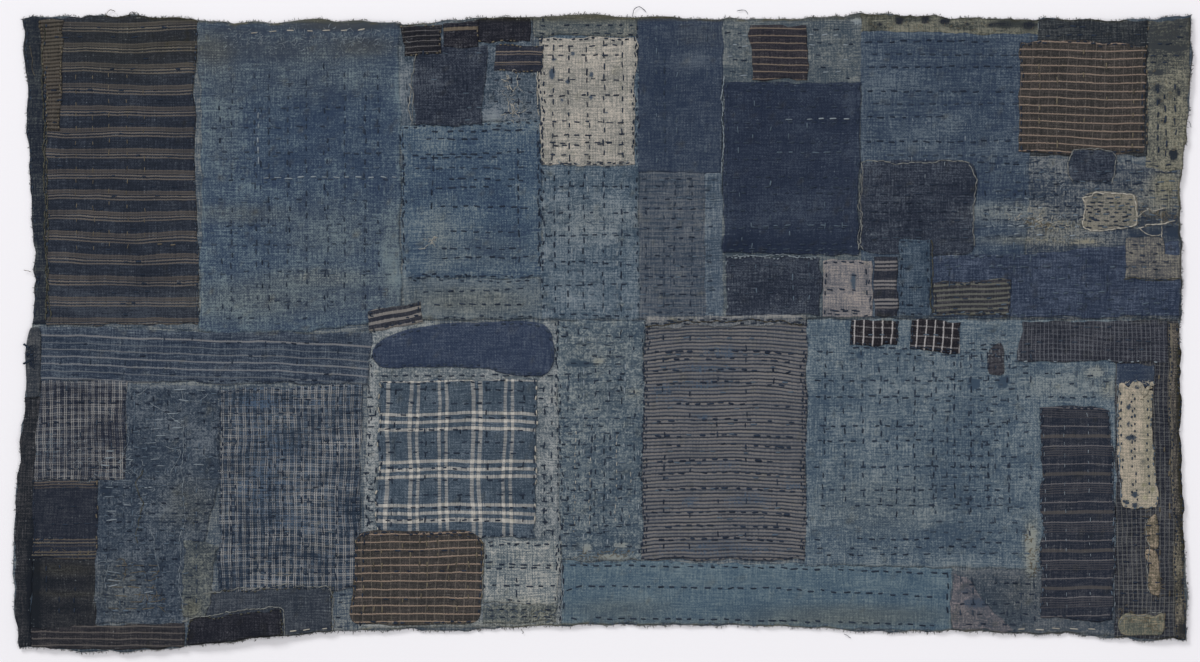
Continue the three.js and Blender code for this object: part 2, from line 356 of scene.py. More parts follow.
    def dyed(self, tree: NodeTree, noises: dict, weights: dict, weave: NodeSocket) -> NodeSocket:
        """Dyes the ground, deeper and paler with its threads, its wear and a few marks of painted light and
        shade.

        Args:
            tree: The material's node tree.
            noises: The noises of threads, clouds and flecks.
            weights: How much each of them counts.
            weave: The over and under of the weave.

        Returns:
            The ground's colour.
        """
        tone = node(tree, "Attribute", {"attribute_name": "tone"}).outputs["Fac"]
        offset = 0.5 - sum(weights.values()) / 2
        tone = node(tree, "Math", {"operation": "ADD", 1: offset}, {0: tone}).outputs[0]
        for source, weight in [(noises[key], weights[key]) for key in weights] + [(weave, self.WEAVE_TONE)]:
            settings = {"operation": "MULTIPLY_ADD", 1: weight}
            tone = node(tree, "Math", settings, {0: source, 2: tone}).outputs[0]
        ramp = node(tree, "ValToRGB", None, {0: tone})
        elements = ramp.color_ramp.elements
        deep, dye, pale = linear(self.deep), linear(self.dye), linear(self.pale)
        deep = [d / f for d, f in zip(deep, (*self.FADING, 1))]
        pale = [p * f for p, f in zip(pale, (*self.FADING, 1))]
        elements[0].position, elements[0].color = self.TONES[0], deep
        elements[1].position = self.TONES[3]
        elements[1].color = [p + self.BEYOND * (p - d) for p, d in zip(pale, dye)]
        elements.new(self.TONES[1]).color, elements.new(self.TONES[2]).color = dye, pale
        return ramp.outputs[0]

    def weave(self, tree: NodeTree, axes: Node) -> NodeSocket:
        """Draws the over and under of the plain weave.

        Args:
            tree: The material's node tree.
            axes: The node that parts the grain's two directions.

        Returns:
            A socket from -1 where the weft is on top to 1 where the warp is.
        """
        waves = []
        for axis in ("X", "Y"):
            settings = {"operation": "MULTIPLY", 1: math.pi / self.THREAD}
            turn = node(tree, "Math", settings, {0: axes.outputs[axis]})
            waves.append(node(tree, "Math", {"operation": "SINE"}, {0: turn.outputs[0]}).outputs[0])
        return node(tree, "Math", {"operation": "MULTIPLY"}, {0: waves[0], 1: waves[1]}).outputs[0]

    def lined(
        self, tree: NodeTree, ground: NodeSocket, lines: Lines, place: NodeSocket, noises: dict, across: str,
    ) -> tuple[NodeSocket, NodeSocket]:
        """Weaves coloured lines into the ground.

        Args:
            tree: The material's node tree.
            ground: The ground's colour.
            lines: The lines.
            place: The direction across the lines, in millimetres.
            noises: The noises of threads, clouds and flecks.
            across: Which of them is that of the threads that cross the lines.

        Returns:
            The new colour, and where the lines are.
        """
        settings = {"operation": "MULTIPLY_ADD", 1: self.WAVER}
        place = node(tree, "Math", settings, {0: noises[across], 2: place}).outputs[0]
        settings = {"operation": "MULTIPLY_ADD", 1: 1 / lines.period, 2: -self.WAVER / 2 / lines.period}
        share = node(tree, "Math", settings, {0: place}).outputs[0]
        share = node(tree, "Math", {"operation": "FRACT"}, {0: share}).outputs[0]
        ramp = node(tree, "ValToRGB", None, {0: share})
        ramp.color_ramp.interpolation = "CONSTANT"
        elements = ramp.color_ramp.elements
        elements.remove(elements[1])
        elements[0].position, elements[0].color = 0.0, (0, 0, 0, 0)
        for start, width, colour in lines.bands:
            for position, alpha in ((start, 1.0), (start + width, 0.0)):
                element = elements[0] if position == 0 else elements.new(min(position / lines.period, 1.0))
                element.color = (*linear(colour)[:3], alpha)
        least = lines.cover - self.BREAK / 2 - lines.fade / 2
        settings = {"operation": "MULTIPLY_ADD", 1: self.BREAK, 2: least}
        cover = node(tree, "Math", settings, {0: noises[across]}).outputs[0]
        settings = {"operation": "MULTIPLY_ADD", 1: lines.fade, "use_clamp": True}
        cover = node(tree, "Math", settings, {0: noises["cloud"], 2: cover}).outputs[0]
        cover = node(tree, "Math", {"operation": "MULTIPLY"}, {0: cover, 1: ramp.outputs[1]}).outputs[0]
        mixed = node(tree, "Mix", {"data_type": "RGBA"}, {0: cover, 6: ground, 7: ramp.outputs[0]})
        return mixed.outputs[2], ramp.outputs[1]

    def rubbed(self, tree: NodeTree, colour: NodeSocket, noises: dict) -> NodeSocket:
        """Adds rubbed threads, and brown stains that keep the cloth's tone, where the piece has them.

        Args:
            tree: The material's node tree.
            colour: The cloth's colour.
            noises: The noises of threads, clouds and flecks.

        Returns:
            The new colour.
        """
        worn = node(tree, "Attribute", {"attribute_name": "worn"}).outputs["Fac"]
        for key in ("warp", "weft", "fleck"):
            settings = {"operation": "MULTIPLY_ADD", 1: self.RUB_WEIGHT}
            worn = node(tree, "Math", settings, {0: noises[key], 2: worn}).outputs[0]
        settings = {"interpolation_type": "SMOOTHSTEP", 1: self.RUB_FROM, 2: self.RUB_TO}
        share = node(tree, "MapRange", settings, {0: worn}).outputs[0]
        settings = {"data_type": "RGBA", 7: linear(self.bare)}
        mixed = node(tree, "Mix", settings, {0: share, 6: colour})
        stain = node(tree, "Attribute", {"attribute_name": "stain"}).outputs["Fac"]
        settings = {"data_type": "RGBA", "blend_type": "COLOR", 7: linear(self.STAIN)}
        return node(tree, "Mix", settings, {0: stain, 6: mixed.outputs[2]}).outputs[2]


CHECK_PAIRS = ((0.0, 0.9, "9d9b98"), (1.9, 0.9, "9d9b98"))
PLAID_LINE = "d8d1c5"
PLAID_WIDTH = 3.3
PLAID_WEFT = ((6.8, 1.2, PLAID_LINE),) + tuple(
    (start, PLAID_WIDTH, PLAID_LINE) for start in (39.1, 47.0, 55.0, 87.8, 95.5, 102.9, 130.8, 138.8, 146.0)
)
PLAID_WARP = tuple(
    (start, PLAID_WIDTH, PLAID_LINE) for start in (6.9, 30.4, 37.9, 59.4, 66.9, 92.9, 99.9, 124.4, 131.4)
)

# The cottons of the cloth. Plain indigo gives a soft face with faded clouds. Striped and checked ones, woven
# of yarn that was dyed first, give lines that break up with wear. Cream and beige ones give pale, dusty
# patches, and charcoal ones nearly black patches with little grain.
COTTONS = {
    "ground": Cotton("3a444f", "4e5862", "6c7479", "ground_cotton", 1.8, 1.2),
    "band": Cotton("20252e", "2a2f38", "3c4247", "charcoal_cotton", 1.4),
    "band_low": Cotton("1f2228", "292c31", "393b40", "charcoal_cotton", 1.2),
    "band_blue": Cotton("2d3239", "3c4046", "4d5156", "charcoal_cotton", 1.2),
    "striped_end": Cotton(
        "23272f", "2a2f39", "363d48", "striped_cotton", 1.8, 0.8,
        weft=Lines(21.1,
                   ((0.0, 1.3, "5b5550"), (1.6, 1.0, "524d49"), (2.9, 1.2, "5b5550"), (5.3, 1.3, "706962"),
                    (8.3, 1.3, "69625b")), 0.7, 1.2),
    ),
    "tick": Cotton(
        "2c2a29", "353230", "423e3a", "striped_cotton", weft=Lines(3.8, ((0.0, 1.9, "5d5852"),), 0.7),
    ),
    "pale_west": Cotton("303c4f", "414f60", "596a77", "pale_indigo", 2.0, 0.75, curl=0.8),
    "mid_west": Cotton("334053", "485969", "63727d", "mid_indigo", 1.8, 0.8, curl=0.7),
    "moss": Cotton("3b4753", "515d68", "66727a", "worn_indigo", 1.8, 0.8, curl=0.9),
    "moss_dark": Cotton("2e353c", "464d53", "5f6667", "worn_indigo", 2.0, 0.6, curl=1.4),
    "charcoal": Cotton("232833", "313743", "454d59", "charcoal_cotton", 1.6, 0.8, curl=0.7),
    "black": Cotton("1e1f26", "25272e", "34363e", "charcoal_cotton", 1.8, 0.8),
    "black_tan": Cotton(
        "1c1d24", "27282f", "3b3d44", "striped_cotton", weft=Lines(60, ((5.0, 3.6, "6e6457"),), 0.85),
    ),
    "worn_web": Cotton("303a45", "46525e", "616c77", "worn_indigo", 2.0, 0.7, curl=1.5),
    "north_strip": Cotton("42494d", "575d5f", "6f7472", "pale_indigo", 1.8, 0.8, curl=0.9),
    "cream": Cotton("72706b", "908e88", "a9a69f", "cream_cotton", 1.6, 0.9, bare="434e5c"),
    "blue_middle": Cotton("394653", "505e6a", "6a7782", "pale_indigo", 2.2, 0.85, curl=1.1),
    "dark_blue": Cotton("2a3344", "343e4e", "434e5d", "mid_indigo", 1.5, 0.8),
    "grey_line": Cotton(
        "343d49", "444d59", "586069", "grey_striped_cotton", 1.6,
        weft=Lines(5.1, ((0.0, 1.9, "61656b"),), 0.4),
    ),
    "pale_narrow": Cotton("3a4653", "4c5865", "626e79", "pale_indigo", 1.8, 1.1),
    "north_pale": Cotton("3c454e", "4e575e", "666e72", "pale_indigo", 1.9, 0.8, curl=1.0),
    "orange_line": Cotton(
        "26262d", "302f35", "3c3b40", "brown_lined_cotton", 1.2,
        weft=Lines(7.4, ((0.0, 1.15, "766a5f"),), 0.85),
    ),
    "deep": Cotton("242b3a", "2c3444", "394353", "deep_indigo", 1.5, 0.7),
    "blotted": Cotton("383b3a", "5a5c56", "71736a", "beige_cotton", 2.2, 1.0, bare="262a32"),
    "north_dark": Cotton("23272d", "303439", "42474b", "charcoal_cotton", 1.8),
    "mid_east": Cotton("2f394a", "3d4958", "53606d", "mid_indigo", 1.8, 0.85, curl=0.6),
    "brown_check": Cotton(
        "2e2c2b", "3a3837", "484544", "brown_lined_cotton", 1.6, 0.8,
        weft=Lines(7.85, ((0.0, 1.15, "8a7a6e"),), 0.85), warp=Lines(9.3, ((0.0, 0.8, "665f59"),), 0.45),
    ),
    "tan_corner": Cotton("3a3d40", "5f605a", "7b7c72", "beige_cotton", 2.3, 0.7, curl=1.3, bare="272e38"),
    "worn_grey": Cotton("2e3745", "444c56", "646b71", "worn_indigo", 2.2, 0.9, curl=1.3, bare="84827b"),
    "cream_scrap": Cotton("54544f", "6f6e69", "85837c", "cream_cotton", 1.8, bare="3a404a"),
    "beige": Cotton("5a5a5e", "737174", "878484", "beige_cotton", 1.8, bare="46525f"),
    "bold_stripe": Cotton(
        "262932", "2d3039", "3a3d46", "striped_cotton",
        weft=Lines(19.5, ((0.0, 2.1, "7f7c7c"), (3.9, 2.1, "7f7c7c"), (7.8, 1.8, "706d6d")), 0.8),
    ),
    "blue_scrap": Cotton("2d3947", "3d4a58", "505e6c", "mid_indigo", 1.6),
    "olive_stripe": Cotton(
        "2a2b30", "34353a", "44454a", "striped_cotton", weft=Lines(5.0, ((0.0, 2.1, "64655f"),), 0.8),
    ),
    "long_indigo": Cotton("283040", "363f50", "495467", "deep_indigo", 1.5, 0.9),
    "beige_grey": Cotton("3c4045", "565658", "6f6f6b", "beige_cotton", 2.2, 1.0, curl=0.7),
    "lined_west": Cotton(
        "29323f", "37404e", "4c5764", "striped_cotton", 1.8,
        weft=Lines(62,
                   ((0.0, 1.5, "7e7e80"), (7.6, 1.2, "5f656c"), (14.4, 1.3, "6c6f73"),
                    (21.4, 1.4, "787a7e"), (28.9, 1.4, "787a7e"), (36.3, 1.2, "62676d"),
                    (43.8, 1.4, "787a7e")), 0.75),
    ),
    "three_line": Cotton(
        "272a33", "2f323b", "3c3f48", "striped_cotton", weft=Lines(7.0, ((0.0, 2.8, "827e7b"),), 0.85),
    ),
    "pill": Cotton("2c3547", "353f52", "455062", "deep_indigo", 1.3, 0.8),
    "check_west": Cotton(
        "20242e", "2e323d", "404752", "fine_checked_cotton", 2.0, bare="4c5862",
        weft=Lines(7.2, CHECK_PAIRS, 0.22, 1.6), warp=Lines(7.1, CHECK_PAIRS, 0.42, 2.2), cross=0.3,
    ),
    "worn_west": Cotton("2d3541", "3c4652", "555f6a", "worn_indigo", 2.0, 0.6, curl=1.5, bare="82857f"),
    "navy_west": Cotton(
        "242831", "2b2f39", "373c45", "striped_cotton", 1.4,
        weft=Lines(79,
                   ((0.5, 1.2, "6b6258"), (3.2, 1.2, "655c52"), (6.2, 1.0, "57514b"), (57.2, 1.2, "655d54"),
                    (60.2, 1.3, "6e665a"), (63.6, 1.0, "4f4a46"), (69.6, 1.3, "665e53"),
                    (72.4, 1.2, "6b6455"), (76.0, 1.2, "665e54")), 0.7, 1.0),
    ),
    "olive_west": Cotton("202328", "2b2d32", "393c40", "charcoal_cotton", 1.8, 0.6),
    "tan_line": Cotton(
        "27272b", "303035", "3d3d40", "striped_cotton", weft=Lines(6.4, ((0.0, 1.3, "625d5a"),), 0.7),
    ),
    "check_middle": Cotton(
        "242d39", "333d4a", "475463", "fine_checked_cotton", 2.2, 1.1, bare="455568",
        weft=Lines(7.3, CHECK_PAIRS, 0.22, 1.8), warp=Lines(7.2, CHECK_PAIRS, 0.4, 2.4), cross=0.35,
    ),
    "blue_hem": Cotton("2c313a", "373d46", "474e57", "mid_indigo", 1.6),
    "plaid_ground": Cotton("4a5259", "687075", "868d91", "pale_indigo", 2.2, 0.7, curl=1.4),
    "plaid": Cotton(
        "353f4a", "424e5a", "566370", "plaid_cotton", 1.4, 0.8, cross=0.35,
        weft=Lines(200, PLAID_WEFT, 0.32, 0.3), warp=Lines(200, PLAID_WARP, 0.22, 0.3),
    ),
    "brown_line": Cotton(
        "302e2d", "3c3a39", "4a4746", "brown_lined_cotton", 1.6, 0.8,
        weft=Lines(8.0, ((0.0, 1.15, "938173"),), 0.85), warp=Lines(9.4, ((0.0, 0.8, "736b62"),), 0.45),
    ),
    "pale_grey": Cotton("50595f", "777e80", "989c9b", "pale_indigo", 2.0),
    "worn_hem": Cotton("394048", "525a5d", "6f7574", "worn_indigo", 2.4, 0.7, curl=1.7),
    "mottled": Cotton("3b4753", "546069", "727d83", "pale_indigo", 2.2, 0.6, curl=1.7),
    "grey_stripe": Cotton(
        "3b4049", "4a4f58", "5f636b", "grey_striped_cotton", 2.2, bare="445364",
        weft=Lines(7.1,
                   ((0.0, 1.7, "787471"), (2.2, 0.9, "353a45"), (3.4, 1.6, "706e6d"), (5.7, 1.1, "20242e")),
                   0.75, 1.2),
    ),
    "pale_east": Cotton("3d4a58", "53616c", "6c7982", "pale_indigo", 1.8, 0.85, curl=1.0),
    "teal": Cotton("3f505f", "4e606d", "60727d", "mid_indigo", 1.6, 0.8),
    "south_east": Cotton("353d46", "474f58", "5c636a", "worn_indigo", 2.2, 0.7, curl=1.2),
    "purple": Cotton("444850", "5c5c62", "757277", "beige_cotton", 1.8, 0.7, curl=1.2, bare="414c5b"),
    "small_check": Cotton(
        "1f1e23", "252429", "343338", "striped_cotton", 1.0, weft=Lines(9.6, ((4.0, 1.2, "9c9a9b"),), 0.34),
        warp=Lines(9.0, ((3.0, 1.4, "bcb8b8"),), 0.6), cross=0.3,
    ),
    "dark_check": Cotton(
        "24262e", "2f323b", "41444d", "fine_checked_cotton", 1.8,
        weft=Lines(5.0, ((0.0, 1.0, "565a61"),), 0.42, 1.2),
        warp=Lines(4.4, ((0.0, 0.9, "676a70"),), 0.5, 1.2),
    ),
    "cream_strip": Cotton("7d776b", "979082", "aaa294", "cream_cotton", 1.5, bare="3b444f"),
    "navy_line": Cotton(
        "232832", "2c303a", "3a3e47", "striped_cotton", 1.1,
        weft=Lines(37.5,
                   ((0.0, 1.0, "6d6a6c"), (2.2, 1.0, "48474b"), (4.6, 1.0, "48474b"), (6.9, 1.0, "48474b"),
                    (9.1, 1.0, "4c4a4d"), (18.0, 1.0, "6b686a"), (26.6, 3.4, "504d4c")), 0.75),
    ),
    "right_check": Cotton(
        "202229", "2c2f37", "404349", "fine_checked_cotton", 2.0,
        weft=Lines(4.3, ((0.0, 1.0, "595b5f"),), 0.42, 1.2),
        warp=Lines(4.6, ((0.0, 0.9, "6b6b68"),), 0.5, 1.2),
    ),
    "selvedge": Cotton(
        "313133", "4c4a47", "6b6761", "beige_cotton", 2.4, bare="26282c",
        warp=Lines(40, ((0.8, 2.0, "8a8781"), (3.4, 2.6, "2e2f33"), (9.0, 2.4, "6b665b")), 0.75, 1.4),
    ),
    "tan_worn": Cotton("514c42", "736b5d", "93887a", "beige_cotton", 2.6, bare="3a3f46"),
    "tan_hem": Cotton("4e514b", "696a60", "827d6d", "beige_cotton", 2.2, bare="3a3f46"),
    "fine_line": Cotton(
        "1c1d23", "25262c", "33343a", "striped_cotton", weft=Lines(5.4, ((2.0, 0.8, "727071"),), 0.6),
    ),
    "two_line": Cotton(
        "242731", "2c303a", "3a3d47", "striped_cotton",
        weft=Lines(40,
                   ((6.2, 1.0, "7b7167"), (8.8, 0.9, "6d645c"), (16.4, 1.0, "70675f"),
                    (18.6, 0.8, "5c5550")), 0.85),
    ),
    "seam_grey": Cotton("4b4f54", "63676c", "7b7e80", "beige_cotton", 1.6),
    "dark_scrap": Cotton(
        "26272e", "303138", "404147", "charcoal_cotton", 1.4, weft=Lines(6.0, ((0.0, 1.8, "46464c"),), 0.6),
    ),
}


@dataclass(frozen=True)
class Outline:
    """A cut piece's four sides on the table, each from left to right or from far to near, in even steps."""

    far: ndarray
    right: ndarray
    near: ndarray
    left: ndarray

    STEP = 2.0  # between a side's points, in millimetres
    CORNERS = ((-1, -1), (1, -1), (1, 1), (-1, 1))  # the ways to the far left corner and on round the piece
    SPANS = ((0, 1), (1, 2), (3, 2), (0, 3))  # the corners between which each side runs
    OUTWARD = ((0, -1), (1, 0), (0, 1), (-1, 0))  # the way out over each side
    REACH = 8  # over how many points a side is smoothed
    WANDER = ((7, 0.5), (19, 0.8))  # over how many points a hand-turned edge wanders, and how far
    TAPER = 4  # over how many points it comes back to a corner
    STEEP = 0.4  # the upward share of a normal, below which a face is part of a solid's rim

    @property
    def sides(self) -> tuple[ndarray, ...]:
        """The far, right, near and left sides."""
        return self.far, self.right, self.near, self.left

    @classmethod
    def of_rim(cls, rim: ndarray, seed: int, grow: float, ragged: float, reach: int = REACH) -> "Outline":
        """Parts a rim into its four sides, uneven as hand-cut ones are.

        Args:
            rim: Points all round the piece.
            seed: The seed of the sides' unevenness.
            grow: How far the sides move out.
            ragged: How uneven the sides are.
            reach: Over how many points they are smoothed.

        Returns:
            The outline.
        """
        corners = np.array([rim[np.argmax(rim @ np.array(way))] for way in cls.CORNERS])
        points = rim[np.linalg.norm(rim[:, None] - corners[None], axis=2).min(1) > 0.5]
        gaps, shares = [], []
        for a, b in cls.SPANS:
            chord = corners[b] - corners[a]
            share = np.clip((points - corners[a]) @ chord / (chord @ chord), 0, 1)
            gaps.append(np.linalg.norm(points - corners[a] - share[:, None] * chord, axis=1))
            shares.append(share)
        side_of = np.argmin(gaps, 0) if len(points) else np.zeros(0, int)
        sides = []
        for side, (a, b) in enumerate(cls.SPANS):
            mine = side_of == side
            order = np.argsort(shares[side][mine])
            line = np.vstack([corners[a], points[mine][order], corners[b]])
            sides.append(cls.uneven(line, seed + side, ragged, reach) + np.array(cls.OUTWARD[side]) * grow)
        far, right, near, left = sides
        shift = grow * np.array([1.0, 0.0])
        far[0], near[0] = far[0] - shift, near[0] - shift
        far[-1], near[-1] = far[-1] + shift, near[-1] + shift
        left[0], left[-1], right[0], right[-1] = far[0], near[0], far[-1], near[-1]
        return cls(far, right, near, left)

    @classmethod
    def drawn(cls, points: tuple, seed: int, grow: float, ragged: float) -> "Outline":
        """Rounds a drawn rim by cutting its corners twice, unless it has only four points.

        Args:
            points: The rim's points in order.
            seed: The seed of the sides' unevenness.
            grow: How far the sides move out.
            ragged: How uneven the sides are.

        Returns:
            The outline.
        """
        rim = np.array(points, float)
        if len(rim) == 4:
            return cls.of_rim(rim, seed, grow, ragged)
        for _ in range(2):
            ahead = np.roll(rim, -1, 0)
            rim = np.stack([0.75 * rim + 0.25 * ahead, 0.25 * rim + 0.75 * ahead], 1).reshape(-1, 2)
        return cls.of_rim(rim, seed, grow, 0.5 * ragged, 1)

    @classmethod
    def of_node(cls, name: str, seed: int, grow: float, ragged: float) -> "Outline":
        """Reads a piece's sides from its CAD solid.

        Args:
            name: The CAD node.
            seed: The seed of the sides' unevenness.
            grow: How far the sides move out.
            ragged: How uneven the sides are.

        Returns:
            The outline.
        """
        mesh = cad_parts[name].data
        normals = np.empty(len(mesh.polygons) * 3)
        mesh.polygons.foreach_get("normal", normals)
        steep = [p for p, n in zip(mesh.polygons, normals.reshape(-1, 3)) if abs(n[2]) < cls.STEEP]
        rim = np.array([mesh.vertices[v].co[:2] for p in steep for v in p.vertices]) / MM
        rim = np.unique(np.round(rim, 2), axis=0)
        return cls.of_rim(np.array(TABLE_MIDDLE) + rim * (1, -1), seed, grow, ragged)

    @classmethod
    def uneven(cls, line: ndarray, seed: int, ragged: float = 1.0, reach: int = REACH) -> ndarray:
        """Smooths a side and makes it wander as a hand-turned edge does.

        Args:
            line: The side's points.
            seed: The random seed.
            ragged: How far it wanders.
            reach: Over how many points it is smoothed.

        Returns:
            The side in even steps.
        """
        lengths = np.concatenate([[0], np.cumsum(np.linalg.norm(np.diff(line, axis=0), axis=1))])
        count = max(8, int(lengths[-1] / cls.STEP))
        even = np.linspace(0, lengths[-1], count)
        side = np.stack([np.interp(even, lengths, line[:, axis]) for axis in (0, 1)], 1)
        reach = min(reach, count // 3)
        kernel = np.hanning(2 * reach + 3)[1:-1]
        padded = np.vstack([2 * side[0] - side[reach:0:-1], side, 2 * side[-1] - side[-2 : -reach - 2 : -1]])
        soft = np.stack([np.convolve(padded[:, axis], kernel / kernel.sum(), "valid") for axis in (0, 1)], 1)
        rng = np.random.default_rng(seed)
        wander = np.zeros(count)
        for spread, reach_mm in cls.WANDER:
            kernel = np.hanning(spread)
            drift = np.convolve(rng.standard_normal(count + spread - 1), kernel, "valid")
            wander += reach_mm * drift / math.sqrt((kernel**2).sum())
        wander *= ragged * np.minimum(1, np.minimum(np.arange(count), np.arange(count)[::-1]) / cls.TAPER)
        along = np.gradient(soft, axis=0)
        along /= np.linalg.norm(along, axis=1, keepdims=True) + 1e-9
        return soft + wander[:, None] * np.stack([-along[:, 1], along[:, 0]], 1)

    @staticmethod
    def at(side: ndarray, share: ndarray) -> ndarray:
        """Reads a side at shares of its length."""
        even = np.linspace(0, 1, len(side))
        return np.stack([np.interp(share, even, side[:, axis]) for axis in (0, 1)], -1)

    def place(self, u: ndarray, v: ndarray) -> ndarray:
        """Finds places inside the piece.

        Args:
            u: Shares from left to right.
            v: Shares from far to near.

        Returns:
            The places on the table.
        """
        u1, v1 = u[..., None], v[..., None]
        sides = (1 - v1) * self.at(self.far, u) + v1 * self.at(self.near, u)
        sides = sides + (1 - u1) * self.at(self.left, v) + u1 * self.at(self.right, v)
        far = (1 - u1) * self.far[0] + u1 * self.far[-1]
        near = (1 - u1) * self.near[0] + u1 * self.near[-1]
        return sides - (1 - v1) * far - v1 * near

    def trim(self, far: "Outline", near: "Outline") -> None:
        """Keeps the sides inside the cloth's own edges.

        Args:
            far: The outline of the far loom width.
            near: The outline of the near loom width.
        """
        left, right = (np.vstack(pair) for pair in ((far.left, near.left), (far.right, near.right)))
        left, right = (line[np.argsort(line[:, 1])] for line in (left, right))
        for side in self.sides:
            limits = (np.interp(side[:, 1], line[:, 1], line[:, 0]) for line in (left, right))
            side[:, 0] = np.clip(side[:, 0], *limits)
            limits = (np.interp(side[:, 0], line[:, 0], line[:, 1]) for line in (far.far, near.near))
            side[:, 1] = np.clip(side[:, 1], *limits)

    def size(self) -> tuple[float, float]:
        """Measures the piece through its middle.

        Returns:
            Its width and length, in millimetres.
        """
        middle, ends = np.full(2, 0.5), np.array([0.0, 1.0])
        across, down = self.place(ends, middle), self.place(middle, ends)
        return float(np.linalg.norm(across[1] - across[0])), float(np.linalg.norm(down[1] - down[0]))


class Stack:
    """The layers of cloth on the table: how high they stand at each millimetre, and which piece is on top."""

    PUFF = 0.95  # how high cloth stands between its stitches, in millimetres
    WAVES = ((0.28, 34), (0.14, 14), (0.08, 6))  # how uneven that is: heights and sizes
    PULL, PULL_DEPTH, PULL_REACH = 9.0, 0.9, 1.9  # of a needle's hole
    HIGHEST = 2.4  # of the relief
    RUB_REACH = 12  # relief that is finer than this is rubbed
    BRIDGE = 2.2  # how far cloth reaches over a step
    HEM_REACH, HEM_INSIDE, HEM_RANGE = 1.7, 0.93, 0.4  # how the outermost millimetres are told
    HEM_SEED, HEM_WAVE, HEM_WAVER = 61, 7, 0.06
    HEM_FROM = 60  # the facings to the left of this have clean hems

    def __init__(self) -> None:
        """Starts with the bare table and its swells."""
        x = np.arange(TABLE_SIZE[0])[None, :] + TABLE_CORNER[0]
        y = np.arange(TABLE_SIZE[1])[:, None] + TABLE_CORNER[1]
        swell = np.zeros((TABLE_SIZE[1], TABLE_SIZE[0]))
        for cx, cy, turn, reach, spread, height in SWELLS:
            c, s = math.cos(math.radians(turn)), math.sin(math.radians(turn))
            along, across = (x - cx) * c + (y - cy) * s, (y - cy) * c - (x - cx) * s
            swell += height * np.exp(-((along / reach) ** 2) - (across / spread) ** 2)
        self.top = np.maximum(0, swell - FLAT_BELOW)
        self.relief = np.zeros_like(self.top)
        self.rub = np.zeros_like(self.top)
        self.hem = np.zeros_like(self.top)
        self.owner = np.full(self.top.shape, -1)
        self.names: list[str] = []

    def pucker(self, holes: ndarray, creases: tuple) -> None:
        """Quilts the cloth: it puffs up between its stitches and creases where the photograph shows it.

        Args:
            holes: Where the needle went through.
            creases: Rows of points with a height and a width.
        """
        pull = np.zeros_like(self.top)
        np.add.at(pull, cells(holes[:, 0], holes[:, 1]), 1.0)
        pull = np.minimum(self.PULL_DEPTH, self.PULL * blurred(pull, self.PULL_REACH))
        puff = self.PUFF
        for index, (height, size) in enumerate(self.WAVES):
            puff = puff + height * clouds(SEED + index, size)
        ridge = np.zeros_like(self.top)
        for height, width, points in creases:
            line = Outline.uneven(np.array(points, float), int(points[0][0]))
            mark = np.zeros_like(self.top)
            mark[cells(line[:, 0], line[:, 1])] = 1.0
            soft = blurred(mark, width)
            ridge += height * soft / soft.max()
        self.relief = np.clip(puff - pull + ridge, 0, self.HIGHEST)
        fine = self.relief - blurred(self.relief, self.RUB_REACH)
        self.rub = fine / fine.std()

    def find_hem(self) -> None:
        """Marks the outermost millimetres of the cloth, once its ground lies on the table."""
        inside = blurred((self.owner >= 0).astype(float), self.HEM_REACH)
        inside = inside + self.HEM_WAVER * clouds(self.HEM_SEED, self.HEM_WAVE)
        east = np.clip((np.arange(TABLE_SIZE[0]) + TABLE_CORNER[0] - self.HEM_FROM) / self.HEM_FROM, 0, 1)
        self.hem = east * np.clip((self.HEM_INSIDE - inside) / self.HEM_RANGE, 0, 1)

    def support(self) -> ndarray:
        """Finds the heights on which the next layer lies, softened as cloth bridges a step.

        Returns:
            The height map.
        """
        moves = [(shift, axis) for axis in (0, 1) for shift in (-1, 0, 1)]
        lifted = np.maximum.reduce([np.roll(self.top, shift, axis) for shift, axis in moves])
        return np.maximum(self.top, blurred(lifted, self.BRIDGE))

    def height(self, x: ndarray, y: ndarray) -> ndarray:
        """Gives how high the topmost cloth stands at places on the table."""
        return sampled(self.top, x, y) + sampled(self.relief, x, y)
